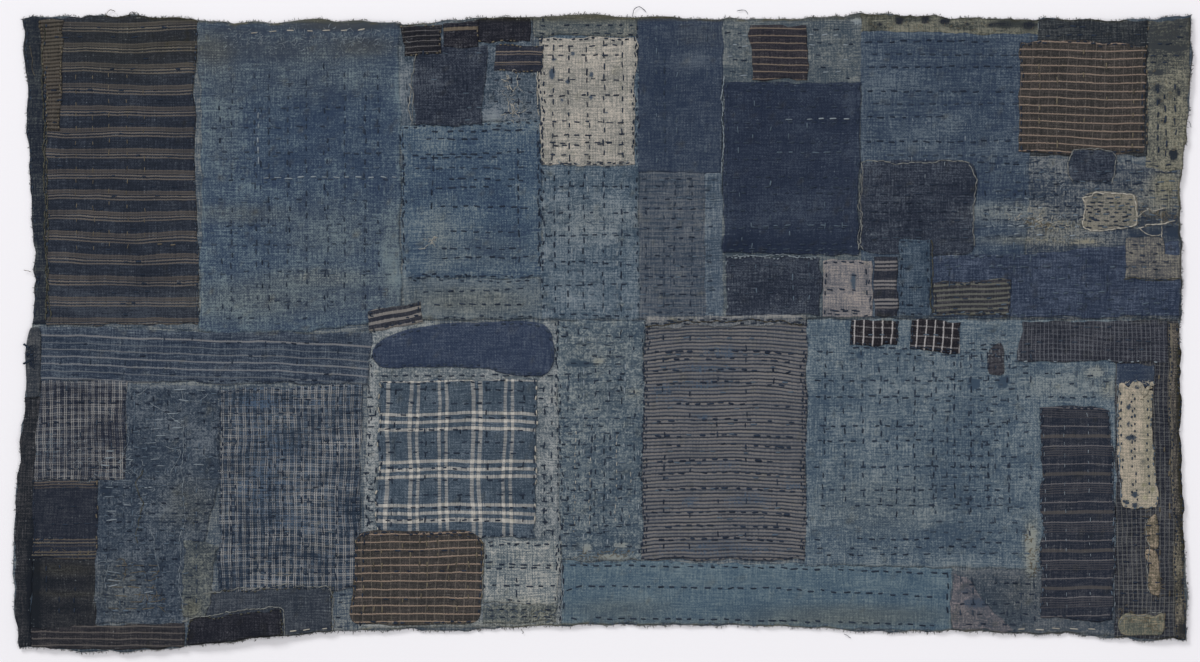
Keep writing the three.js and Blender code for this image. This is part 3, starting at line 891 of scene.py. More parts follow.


# Shades laid on the cloth, a few of them painted light and shade as marked below: x, y, half width, half
# height, paler or darker, then rubbed and stained if so
SHADES = (
    (300, 44, 110, 16, -0.16, 0.04, 0.18), (215, 52, 18, 16, -0.02, 0.08, 0.2),
    (365, 47, 26, 9, 0.06, 0.1, 0.2), (290, 18.5, 120, 3.5, -0.4, 0, 0.8),
    (346, 26, 54, 4.5, -0.7, -0.1, 0.35), (240, 29, 30, 5, -0.3, 0, 0.1), (372, 44, 12, 5, -0.35),
    (560, 17, 90, 4, -0.4, 0, 0.75), (760, 15.5, 130, 4, -0.4, 0, 0.75), (250, 58, 34, 6, -0.2),
    (325, 150, 62, 60, -0.15), (238, 214, 44, 9, 0.12, 0.1, 0.2), (330, 232, 50, 30, 0.1, 0.05, 0.12),
    (325, 277, 50, 9, 0.12, 0.25, 0.14), (240, 305, 55, 22, 0.16, 0.1, 0.1), (290, 95, 60, 12, -0.12),
    (392, 250, 10, 45, 0.3, 0.1, 0.1), (405, 92, 8, 34, 0.2, 0.2), (222, 120, 20, 50, 0.08, 0, 0.1),
    (470, 180, 60, 30, -0.16), (440, 240, 14, 34, 0.12, 0.08, 0.12), (432, 148, 26, 22, 0.1),
    (490, 252, 40, 20, -0.05, 0, 0.1), (470, 302, 55, 14, 0.1, 0.1, 0.28), (515, 225, 18, 40, -0.1),
    (590, 222, 45, 20, 0.2, 0.1, 0.1), (590, 302, 40, 12, 0.12, 0.15), (590, 180, 45, 10, -0.12),
    (492, 116, 9, 5, 0.5, 0.3), (512, 98, 10, 22, 0.12, 0.1), (690, 62, 16, 10, 0.25, 0.1),
    (655, 100, 14, 60, -0.08), (700, 35, 24, 10, 0.2, 0.05, 0.1), (850, 102, 5, 18, 0.3),
    (742, 240, 14, 10, -0.25), (905, 140, 40, 16, 0.04), (890, 82, 26, 16, 0.12), (975, 80, 32, 36, -0.1),
    (985, 118, 30, 8, 0.08), (1050, 167, 40, 9, 0.12, 0.15), (1010, 212, 44, 9, 0.3, 0.35, 0.2),
    (1060, 226, 36, 6, 0.25, 0.4, 0.4), (1150, 205, 34, 24, 0.15, 0.2, 0.2),
    (1162, 186, 14, 14, 0.12, 0.1, 0.1), (1000, 192, 40, 7, -0.15), (1040, 240, 50, 4, 0.25, 0.3, 0.4),
    (1088, 241, 18, 2.5, 0.3, 0.5, 0.2), (1173, 155, 5, 6.5, 0, 0.8), (1157, 88, 5, 5, 0, 0.6),
    (1177, 92, 4, 5, 0, 0.6), (1158, 102, 3.5, 4, 0, 0.6), (1163, 122, 3, 4, 0, 0.6),
    # (1176, 49), (1156, 73) and (1158, 46) are thin dark lines of painted shade along the tan corner's
    # creases
    (1164, 108, 2.5, 3, 0, 0.6), (1168, 40, 26, 30, -0.38, 0.12, 0.1), (1176, 49, 10, 1.8, -1.0),
    (1156, 73, 9, 1.8, -0.9), (1158, 46, 10, 1.8, -0.7), (1174, 120, 12, 40, 0.15, 0, 0.2),
    (857, 21, 5, 4, 0, 0.7), (899, 21, 4.5, 5, 0, 0.7), (925, 20, 5, 4, 0, 0.7), (944, 22, 6, 4, 0, 0.7),
    (1029, 26, 8, 5, 0, 0.7), (967, 24, 3, 2, 0, 0.6), (990, 26, 4, 2, 0, 0.5), (880, 24, 3, 2, 0, 0.5),
    (552, 74, 3, 6, 0, 0.9), (573, 54, 2.2, 2.6, 0, 0.8), (591, 75, 2.4, 3, 0, 0.8),
    (568, 82, 2.2, 2.6, 0, 0.8), (591, 98, 2.2, 2.6, 0, 0.8), (562, 101, 2.4, 2.6, 0, 0.6),
    (606, 113, 3, 2, 0, 0.5), (554, 60, 3, 2.4, 0, 0.6), (853, 281, 2.6, 9, 0, 0.9),
    (1108, 212, 24, 14, 0.05, 0.12), (135, 472, 16, 34, -0.22), (200, 575, 12, 34, 0.12, 0.1, 0.05),
    (190, 505, 24, 24, 0.18, 0.12, 0.2), (175, 430, 40, 26, 0.1, 0.1), (120, 590, 22, 28, 0.1, 0.12, 0.2),
    (50, 448, 12, 26, 0.12, 0.3), (100, 470, 22, 8, 0.1, 0.25), (80, 440, 30, 12, 0.1, 0.1),
    (106.7, 490, 4, 4, -2.5), (240, 470, 18, 60, -0.08), (256, 425, 18, 34, 0.08, 0.3),
    (286, 470, 24, 50, 0.08, 0.28), (250, 492, 20, 22, 0.08, 0.3), (310, 524, 46, 9, 0.08, 0.3),
    (262, 402, 40, 7, 0.05, 0.27), (330, 402, 30, 5, 0.05, 0.3), (290, 560, 66, 26, -0.12, -0.1),
    (200, 385, 150, 4, 0.25, 0.1), (370, 430, 7, 60, 0.28, 0.1), (548, 470, 8, 60, 0.02, 0.05),
    (600, 350, 34, 14, 0.12, 0.12, 0.06), (600, 396, 36, 12, 0, 0.08, 0.06), (600, 505, 36, 36, -0.05),
    (587, 548, 4, 4.5, 0, 0.9, 0.3), (622, 545, 8, 2.5, 0, 0.8, 0.3), (610, 557, 14, 3, 0, 0.8, 0.3),
    (599, 361, 6, 3, 0, 0.8, 0.4), (580, 363.5, 11, 2.4, -1.6), (634, 393, 7, 2.4, 0, 0.6, 0.4),
    (722, 352, 22, 7, 0, 0.36), (750, 500, 26, 6, 0, 0.36), (690, 500, 9, 7, 0, 0.36),
    (720, 465, 18, 4, 0, 0.3), (660, 390, 14, 5, 0, 0.38), (700, 368, 40, 4, 0, 0.4),
    (700, 416, 14, 4, 0, 0.35), (668, 400, 20, 4, 0, 0.3), (700, 385, 30, 5, 0, 0.35),
    (790, 486, 14, 5, 0, 0.35), (720, 548, 70, 8, 0, 0.3), (880, 505, 60, 26, 0.04, 0, 0.1),
    (958, 470, 22, 70, -0.2), (920, 387, 90, 11, 0.14), (1000, 355, 18, 12, 0.2, 0.2),
    (1060, 385, 40, 12, 0.14, 0.1, 0.1), (1031, 548, 7, 28, 0, 0.7, 0.4), (850, 392, 26, 22, -0.06),
    (818, 412, 12, 40, -0.16), (910, 535, 100, 14, -0.18, 0.05), (1095, 372, 12, 6, 0, 0.6, 0.2),
    (1108, 390, 8, 8, 0, 0.5, 0.3), (974, 383.5, 3.4, 3.4, -3.2), (1003, 382, 3.4, 3.4, -3.2),
    (860, 355, 2.4, 2.4, -1.5), (935, 505, 3, 3, 0, 0.6), (700, 592, 90, 18, 0.08),
    (850, 615, 90, 10, -0.06, 0, 0.3), (620, 610, 50, 10, -0.05, 0, 0.2), (1005, 606, 22, 18, -0.25),
    (1020, 595, 20, 14, 0.2, 0.1, 0.1), (975, 603, 13, 6, 0, 0.6), (965, 590, 6, 4, 0, 0.5),
    (1160, 440, 8, 50, -0.05), (1136.5, 387, 2.2, 2.2, 0, 0.9), (1128, 407, 2.6, 2.6, 0, 0.9),
    (1128, 424, 2.0, 2.6, 0, 0.8), (1130, 437.5, 5.5, 2.6, 0, 1.0), (1134, 494.5, 3.4, 2.6, 0, 1.0),
    (1126, 502, 2.4, 2.2, 0, 0.9), (1134, 505, 3, 2.4, 0, 0.9), (1142.5, 462, 3, 4, -0.3, 0.4),
    (1143, 485, 2, 2, -0.3, 0, 0.9), (1152, 489, 2, 2.4, -0.3, 0, 0.9), (1144, 497, 2, 2.2, -0.3, 0, 0.9),
    (1148, 440, 6, 60, -0.15, 0, 0.25), (790, 212, 70, 12, 0.18), (790, 246, 70, 10, -0.3),
    # (34, 590) is painted shade in the seam between the left band and the olive scrap
    (700, 60, 14, 8, 0.35, 0.1), (34, 590, 5, 48, -1.3), (726, 440, 100, 150, 0, 0.08),
    (193, 607, 9, 9, 0.1, 0, 0.45), (1150, 222, 8, 3.5, -0.9), (1173, 218, 5, 3, -0.8),
    (1136, 234.5, 9, 3.5, -0.7), (1154, 233, 6, 3.5, -0.8), (1173, 232, 8, 6, -0.8),
    (1166, 194, 14, 18, 0.1, 0.1, 0.3), (1178, 570, 6, 60, 0.1, 0, 0.3), (1179, 520, 2, 5, -0.4),
    # (68, 581), (66, 594), (66, 608) and (66, 569) are bands of painted light and shade across the olive
    # scrap's wrinkles; the two pale ones are also stained
    (1182, 580, 2, 5, -0.4), (1182, 628, 3, 6, -0.8), (68, 581, 28, 2.6, -0.3),
    (66, 594, 30, 3, 0.25, 0, 0.3), (66, 608, 28, 5, -0.25), (66, 569, 28, 6, 0.12, 0, 0.3),
    (110, 160, 70, 60, -0.1), (120, 305, 70, 16, 0.3), (520, 605, 30, 8, 0.1, 0.2, 0.2),
    (540, 616, 14, 6, 0, 0.5, 0.5), (1092, 167, 24, 18, 0.06, -0.15), (905, 20, 14, 3, -0.4),
    (930, 26, 60, 8, 0.2), (962, 27, 16, 3, -0.5), (1010, 24, 14, 4, -0.5, 0.2),
    (1166, 178, 14, 10, 0.1, 0.15, 0.3), (460, 624, 90, 4, 0.12, 0.1, 0.2),
    (750, 622, 160, 4, 0.05, 0.05, 0.1), (1178, 580, 8, 40, 0.1, 0, 0.1), (125, 45, 75, 34, -0.1, 0, 0.3),
    (300, 75, 95, 25, 0.04, 0, 0.12), (300, 295, 95, 20, 0.05, 0.03, 0.14), (940, 90, 70, 8, 0.1),
    (790, 105, 66, 26, -0.08), (600, 540, 38, 14, -0.14), (725, 330, 80, 4, -0.2), (750, 567, 190, 4, 0.12),
    (750, 609, 190, 5, -0.08), (1000, 25, 12, 4, -0.2, 0.3), (876, 27, 10, 4, -0.15, 0.3),
)

# Creases and ridges, listed one by one: height, width and points
CREASES = (
    (0.9, 2.0, ((130, 455), (136, 465), (144, 469), (138, 482), (136, 491), (146, 499), (140, 517))),
    (0.7, 2.4, ((40, 325), (120, 328), (200, 333), (300, 336), (345, 332), (370, 324), (420, 321))),
    (0.8, 2.2, ((646, 318), (726, 316), (806, 317))),
    (0.5, 3.0, ((560, 328), (556, 400), (552, 470), (560, 540))),
    (0.6, 3.0, ((402, 60), (400, 130), (404, 210), (407, 290))),
    (0.6, 2.6, ((1003, 240), (1060, 233), (1130, 236), (1178, 222))),
    (-0.9, 1.1, ((41, 556), (39, 572), (39.5, 590), (37, 604), (42, 622))),
    (0.9, 1.8, ((42, 586), (52, 595), (60, 603), (70, 606), (80, 615))),
    (0.6, 2.2, ((44, 590), (66, 592), (96, 590))),
    (0.6, 2.2, ((46, 602), (64, 603), (96, 600))),
    (0.5, 3.0, ((1150, 50), (1165, 60), (1186, 58))),
    (0.5, 3.0, ((1152, 72), (1170, 78), (1188, 72))),
    (1.1, 1.6, ((1151, 516), (1148, 530), (1153, 545), (1148, 552), (1153, 570), (1151, 592))),
    (0.8, 2.0, ((1120, 620), (1132, 617), (1146, 619), (1162, 615))),
)


@dataclass
class Piece:
    """One cut piece of cotton, laid on the layers below it.

    Attributes:
        name: Its name, which is its CAD node's where it has a solid.
        cotton: Its finish.
        layer: The layer it lies in, from 0 for the loom widths.
        origin: Where its pattern starts on the table.
        grain: How far its grain is turned, in degrees.
        rim: Points of a drawn edge, from the far left one round.
        pitch: The size of its facets, in millimetres.
        ragged: How uneven its edges are.
        bow: How far its wefts arch towards the far side, in millimetres.
        lift: How far it lies over its layer, in millimetres.
        outline: Its cut sides.
    """

    name: str
    cotton: str
    layer: int
    origin: tuple[float, float] = (0.0, 0.0)
    grain: float = 0.0
    rim: tuple[tuple[float, float], ...] = ()
    pitch: float = 3.2
    ragged: float = 1.0
    bow: float = 0.0
    lift: float = field(init=False)
    outline: Outline = field(init=False)

    FOLD = 0.5  # how far a turned edge bends down
    GROW = 2.0  # how far a field's edge laps its neighbour's
    LAPS = 5  # neighbouring fields lie at so many slightly different heights
    LAP = 0.06  # between two of these heights
    FOLD_WIDTH = 1.3  # over which a turned edge bends
    GATHER = 0.09  # how far a sheet's rows gather at its edges, as a share of its side
    SLACK = 0.1  # between a sheet and what it lies on
    CELL_STEP = 0.7  # finer than the height map, so that no cell is missed
    RESTS = 0.2  # the least share of a piece that lies on what it rests on
    RUB_TONE = 0.05  # how much paler the high places of the relief are
    SHADE_FALL, SHADE_POWER = 0.7, 1.5  # how a shade fades out
    EDGE, EDGE_WIDTH = (0.1, 0.15, 0.0), 2.0  # paler, rubbed and stained along a patch's edge
    HEM = (-0.5, 0.1, 0.9)  # the same along the cloth's hem
    LIMITS = (-2.5, 1.2)  # of all marks together
    WIDE_PULL, SHORT_PULL = 0.9, 0.25  # how far the sewing pulls the grain out of true, in millimetres

    def cut(self, seed: int) -> None:
        """Finds the piece's outline.

        Args:
            seed: The seed of its unevenness.
        """
        grow = self.GROW if self.layer == 1 else 0.0
        self.lift = self.LAP * (seed // SEED_STEP % self.LAPS) if self.layer else 0.0
        if self.rim:
            self.outline = Outline.drawn(self.rim, seed, grow, self.ragged)
        else:
            self.outline = Outline.of_node(self.name, seed, grow, self.ragged)
        if not self.layer:
            outline, is_far = self.outline, self.name.startswith("far")
            seam, end = (outline.near, -1) if is_far else (outline.far, 0)
            seam[:, 1] += self.GROW if is_far else -self.GROW
            outline.left[end], outline.right[end] = seam[0], seam[-1]

    @property
    def has_solid(self) -> bool:
        """Whether a CAD solid stands behind the piece."""
        return self.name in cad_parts

    @property
    def thickness(self) -> float:
        """How thick its cloth is, in millimetres."""
        return PATCH_THICKNESS if self.layer else PANEL_THICKNESS

    @property
    def label(self) -> str:
        """The name of its object, which isn't its solid's."""
        return f"{self.name}_cloth" if self.has_solid else self.name

    def covered(self) -> tuple[ndarray, ndarray]:
        """Finds the height map's cells that the piece covers.

        Returns:
            Their rows and columns.
        """
        width, length = self.outline.size()
        shares = (np.linspace(0, 1, int(side / self.CELL_STEP)) for side in (width, length))
        u, v = np.meshgrid(*shares)
        places = self.outline.place(u, v).reshape(-1, 2)
        return cells(places[:, 0], places[:, 1])

    def lay(self, stack: Stack, support: ndarray, materials: dict) -> Object:
        """Cuts the piece from a grid and lays it on what is below.

        Args:
            stack: The layers of cloth.
            support: The heights that it lies on.
            materials: The finished materials, by cotton.

        Returns:
            The piece's object.
        """
        width, length = self.outline.size()
        bpy.ops.object.select_all(action="DESELECT")
        columns, rows = (max(4, round(side / self.pitch)) for side in (width, length))
        bpy.ops.mesh.primitive_grid_add(x_subdivisions=columns, y_subdivisions=rows, size=1, calc_uvs=True)
        made = alone(self.label)
        mesh = made.data
        flat = np.empty(len(mesh.vertices) * 3)
        mesh.vertices.foreach_get("co", flat)
        flat = flat.reshape(-1, 3)
        even = (flat[:, 0] + 0.5, 0.5 - flat[:, 1])
        u, v = (share - self.GATHER * np.sin(2 * math.pi * share) for share in even)
        places = self.outline.place(u, v)
        x, y = places[:, 0], places[:, 1]
        sides = np.stack([v * length, (1 - u) * width, (1 - v) * length, u * width])
        fold = self.FOLD * np.exp(-((sides.min(0) / self.FOLD_WIDTH) ** 2))
        height = sampled(support, x, y) + sampled(stack.relief, x, y) + self.thickness + self.lift - fold
        mesh.vertices.foreach_set("co", in_frame(x, y, height).ravel())
        self.mark(mesh, x, y, sides, stack)
        self.set_grain(mesh, x, y)
        mesh.polygons.foreach_set("use_smooth", np.ones(len(mesh.polygons), bool))
        mesh.update()
        solid = made.modifiers.new("thickness", "SOLIDIFY")
        solid.thickness, solid.offset = (self.thickness - self.SLACK) * MM, -1
        bpy.ops.object.modifier_apply(modifier=solid.name)
        mesh.materials.append(materials[self.cotton])
        self.declare(made, stack)
        return made

    def mark(self, mesh: Mesh, x: ndarray, y: ndarray, sides: ndarray, stack: Stack) -> None:
        """Says where the piece is paler or darker, rubbed and stained, with painted light and shade in a few
        places.

        Args:
            mesh: The piece's mesh.
            x: Its points along the table.
            y: Its points towards the maker.
            sides: How far each point is from the far, right, near and left edges.
            stack: The layers of cloth.
        """
        marks = np.zeros((3, len(x)))
        marks[0] = self.RUB_TONE * sampled(stack.rub, x, y)
        for cx, cy, rx, ry, *amounts in SHADES:
            reach = ((x - cx) / rx) ** 2 + ((y - cy) / ry) ** 2
            fading = np.exp(-(reach**self.SHADE_POWER) * self.SHADE_FALL)
            marks[: len(amounts)] += np.array(amounts)[:, None] * fading
        if self.layer:
            edge = np.exp(-((sides.min(0) / self.EDGE_WIDTH) ** 2))
            marks += np.array(self.EDGE)[:, None] * edge
        marks += np.array(self.HEM)[:, None] * sampled(stack.hem, x, y)
        for name, values in zip(("tone", "worn", "stain"), marks):
            attribute = mesh.attributes.new(name, "FLOAT", "POINT")
            attribute.data.foreach_set("value", np.clip(values, *self.LIMITS).astype(np.float32))

    def set_grain(self, mesh: Mesh, x: ndarray, y: ndarray) -> None:
        """Lays the weave along the piece's grain, in millimetres, a little pulled out of true by the sewing.

        Args:
            mesh: The piece's mesh.
            x: Its points along the table.
            y: Its points towards the maker.
        """
        turn = math.radians(self.grain)
        middle, half = (x.min() + x.max()) / 2, (x.max() - x.min()) / 2
        arch = self.bow * (1 - ((x - middle) / half) ** 2)
        dx, dy = x - self.origin[0], y - self.origin[1] + arch
        for amount, across, down in ((self.WIDE_PULL, *PULLS[:2]), (self.SHORT_PULL, *PULLS[2:])):
            dx, dy = dx + amount * sampled(across, x, y), dy + amount * sampled(down, x, y)
        cosine, sine = math.cos(turn), math.sin(turn)
        grain = np.stack([dx * cosine + dy * sine, dy * cosine - dx * sine], 1)
        corners = np.empty(len(mesh.loops), int)
        mesh.loops.foreach_get("vertex_index", corners)
        layer = mesh.uv_layers[0]
        layer.name = "grain"
        layer.data.foreach_set("uv", grain[corners].astype(np.float32).ravel())

    def declare(self, made: Object, stack: Stack) -> None:
        """Hangs the piece under the root and hides its CAD solid.

        Args:
            made: The piece's object.
            stack: The layers of cloth.
        """
        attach(made, "root")
        if self.has_solid:
            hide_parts(self.name)
        owners, counts = np.unique(stack.owner[self.covered()], return_counts=True)
        width, length = self.outline.size()


# How the sewing pulls the grain: two wide maps and two finer ones
PULLS = [clouds(SEED + 10 + index, size) for index, size in enumerate((90, 90, 22, 22))]

PIECES = (
    Piece("far_loom_width", "ground", 0, pitch=6.0),
    Piece("near_loom_width", "ground", 0, pitch=6.0),
    Piece("left_band_upper", "band", 1),
    Piece("left_band_lower", "band_low", 1),
    Piece("right_check_band", "right_check", 1, (1117, 322)),
    Piece("striped_end", "striped_end", 1, (47, 21.9)),
    Piece("pale_west_field", "pale_west", 1),
    Piece("worn_north_field", "worn_web", 1),
    Piece("west_two_field", "mid_west", 1),
    Piece("moss_north_strip", "moss", 1),
    Piece("middle_north_field", "blue_middle", 1),
    Piece("dark_north_field", "dark_blue", 1),
    Piece("grey_line_field", "grey_line", 1),
    Piece("pale_narrow_strip", "pale_narrow", 1),
    Piece("pale_north_field", "north_pale", 1),
    Piece("east_field", "mid_east", 1),
    Piece("dark_north_east", "north_dark", 1),
    Piece("worn_east_field", "worn_grey", 1),
    Piece("tan_corner", "tan_corner", 1, pitch=1.7),
    Piece("lined_west_strip", "lined_west", 1, (42, 333.4), 2.1),
    Piece("fine_check_west", "check_west", 1, (42, 383)),
    Piece("navy_west_scrap", "navy_west", 1, (34, 481)),
    Piece("olive_west_scrap", "olive_west", 1),
    Piece("worn_west_upper", "worn_west", 1),
    Piece("worn_west_lower", "worn_west", 1, pitch=2.4),
    Piece("tan_line_hem", "tan_line", 1, (34, 626), -0.6),
    Piece("fine_check_middle", "check_middle", 1, (222, 390)),
    Piece("blue_hem_strip", "blue_hem", 1),
    Piece("plaid_ground", "plaid_ground", 1),
    Piece("mottled_field", "mottled", 1),
    Piece("grey_stripe_field", "grey_stripe", 1, (646, 326), bow=2.6),
    Piece("pale_east_field", "pale_east", 1, pitch=2.8),
    Piece("teal_hem_strip", "teal", 1, (0, 0), 1.0),
    Piece("south_east_field", "south_east", 1),
    Piece("blotted_strip", "blotted", 1, pitch=1.7, rim=(
        (862, 15.5), (1037, 17.5), (1037, 34), (862, 30.5))),
    Piece("left_band_middle", "band_blue", 2, rim=(
        (30.5, 327), (36, 327), (41, 327.5), (41, 360), (41, 396), (35, 398), (27, 398), (27, 385),
        (26, 370), (26, 354), (27.5, 341))),
    Piece("tick_strip", "tick", 2, (48, 20), -1.5),
    Piece("charcoal_north", "charcoal", 2),
    Piece("black_north_scrap", "black", 2),
    Piece("cream_patch", "cream", 2, pitch=1.5),
    Piece("orange_line_patch", "orange_line", 2, (750, 28.0)),
    Piece("deep_indigo_field", "deep", 2),
    Piece("charcoal_low", "charcoal", 2),
    Piece("beige_scrap", "beige", 2, pitch=2.0),
    Piece("bold_stripe_scrap", "bold_stripe", 2, (874, 259)),
    Piece("charcoal_rounded", "charcoal", 2, rim=(
        (859, 162.5), (887, 160.5), (912, 161), (937, 160.5), (971, 160.5), (976, 173), (977, 187),
        (973.5, 205), (973, 230), (975, 249), (966, 255), (937, 256), (890, 255), (856, 251), (859.5, 230),
        (858.5, 205), (862, 186), (860, 173))),
    Piece("long_indigo", "long_indigo", 2),
    Piece("brown_check_north", "brown_check", 2, (1020, 48.7), 1.6),
    Piece("cream_east_scrap", "cream_scrap", 2, pitch=1.6, rim=(
        (1080.5, 198), (1091, 191), (1112, 192), (1125, 194), (1136.5, 194), (1137, 213), (1138, 227.5),
        (1122, 228), (1110, 229.5), (1084, 232), (1079.5, 220), (1084.5, 212.5), (1086, 205))),
    Piece("three_line_scrap", "three_line", 2, (368, 316.5), -9.5),
    Piece("pill_patch", "pill", 2, rim=(
        (376, 344), (391, 335), (411, 328.5), (452, 323), (493, 321.5), (527, 321.5), (545, 324),
        (552, 334), (555, 351), (552, 367), (546, 376), (526, 376.5), (513, 375), (496, 370.5), (468, 367),
        (435, 366), (401, 368), (384, 368.5), (375, 363), (371.5, 352))),
    Piece("plaid_patch", "plaid", 2, (378.6, 372), 0.5),
    Piece("pale_grey_scrap", "pale_grey", 2),
    Piece("black_hem_scrap", "black", 2),
    Piece("small_check_left", "small_check", 2, (851, 320), 4.0),
    Piece("small_check_right", "small_check", 2, (913, 321), 5.5),
    Piece("dark_check_strip", "dark_check", 2, (1022, 321)),
    Piece("cream_east_strip", "cream_strip", 3, pitch=1.4, rim=(
        (1118, 383), (1123, 382), (1126, 389), (1130, 388), (1131, 381), (1138, 379.5), (1143, 383),
        (1145, 390), (1148, 389), (1149, 380.5), (1154, 381), (1153.5, 392), (1150.5, 402), (1152, 412),
        (1150.5, 421), (1153, 432), (1151.5, 440), (1154.5, 452), (1153, 462), (1156.5, 474), (1155, 483),
        (1158, 495), (1156, 508), (1150, 506), (1146, 509), (1140, 506.5), (1134, 509), (1128, 506),
        (1122, 508), (1120, 496), (1122.5, 486), (1120, 478), (1118, 468), (1116.5, 455), (1118.5, 442),
        (1116.5, 428), (1118, 415), (1116, 403), (1118, 393))),
    Piece("navy_line_patch", "navy_line", 2, (1039, 409)),
    Piece("north_middle_strip", "north_strip", 2, rim=((533, 19), (637.5, 19), (637, 36.5), (535, 37))),
    Piece("moss_scrap", "moss_dark", 2, rim=((184, 540), (219, 547), (206, 616), (184, 616)), ragged=2.0),
    Piece("worn_hem_scrap", "worn_hem", 2, rim=((483, 606), (558, 605), (556, 622), (483, 623.5))),
    Piece("grey_purple_scrap", "purple", 2, pitch=2.0, ragged=2.0, rim=(
        (953, 573), (966, 577), (1012, 630), (953, 629))),
    Piece("right_selvedge", "selvedge", 2, rim=((1167, 323), (1178, 323), (1184.5, 637), (1174.5, 637))),
    Piece("tan_worn_upper", "tan_worn", 2, rim=(
        (1145, 522), (1151, 515.5), (1156, 512), (1157.5, 530), (1158.5, 550), (1148, 547), (1144, 536))),
    Piece("tan_worn_lower", "tan_worn", 2, rim=(
        (1143, 551), (1148, 547.5), (1158.5, 552), (1158, 575), (1160, 597), (1149, 594), (1146.5, 580),
        (1149, 565), (1145.5, 560))),
    Piece("tan_hem_scrap", "tan_hem", 2, rim=(
        (1117, 625), (1120, 615), (1128, 612), (1138, 615.5), (1146, 612), (1154, 617.5), (1160, 611),
        (1164.5, 615), (1163, 635), (1150, 635.5), (1134, 633), (1120, 635))),
    Piece("indigo_scrap", "dark_blue", 2, rim=((1116, 363), (1154, 365), (1153, 386), (1116, 386))),
    Piece("worn_dark_scrap", "dark_scrap", 2, pitch=1.6, rim=(
        (987, 352), (993, 346), (1000, 341), (1004, 349), (1003, 361), (1005, 376), (988, 376),
        (987, 363))),
    Piece("tan_seam_strip", "seam_grey", 2, pitch=2.2, rim=(
        (646, 316), (806, 315), (806, 325), (646, 327))),
    Piece("blue_scrap", "blue_scrap", 3),
    Piece("olive_stripe_scrap", "olive_stripe", 3, (933, 285), -2.5),
    Piece("brown_line_patch", "brown_line", 3, (353, 540.7), rim=(
        (355, 541), (360, 533.5), (371, 530.5), (421, 531), (469, 530.5), (478, 535), (483.5, 543),
        (483.5, 575), (482, 600), (479.5, 624), (450, 624), (414, 625), (380, 624), (350.5, 624),
        (350.5, 606), (354, 589), (355, 566))),
    Piece("fine_line_scrap", "fine_line", 3, (402, 29), -2.6, rim=(
        (401, 27.5), (442.5, 25), (441, 54), (405, 56.5))),
    Piece("black_north_strip", "black_tan", 3, (443, 22.5), -2.0, rim=(
        (443.5, 24), (478, 20.5), (478, 46.5), (444, 47))),
    Piece("two_line_scrap", "two_line", 3, (496, 46), 1.0, rim=(
        (496, 45.5), (543, 46.5), (541, 72), (494, 71))),
    Piece("small_dark_scrap", "charcoal", 3, rim=(
        (1073, 149), (1095, 150), (1117, 150.5), (1114, 166), (1111.5, 184), (1091, 182), (1073, 183.5),
        (1068.5, 176), (1067, 165), (1069.5, 154))),
    Piece("beige_grey_far", "beige_grey", 3, rim=((1125.5, 238), (1162, 238), (1164, 256), (1125, 256))),
    Piece("beige_grey_near", "beige_grey", 3, rim=(
        (1125, 254), (1180, 255), (1180.5, 278.5), (1124.5, 278.5))),
)


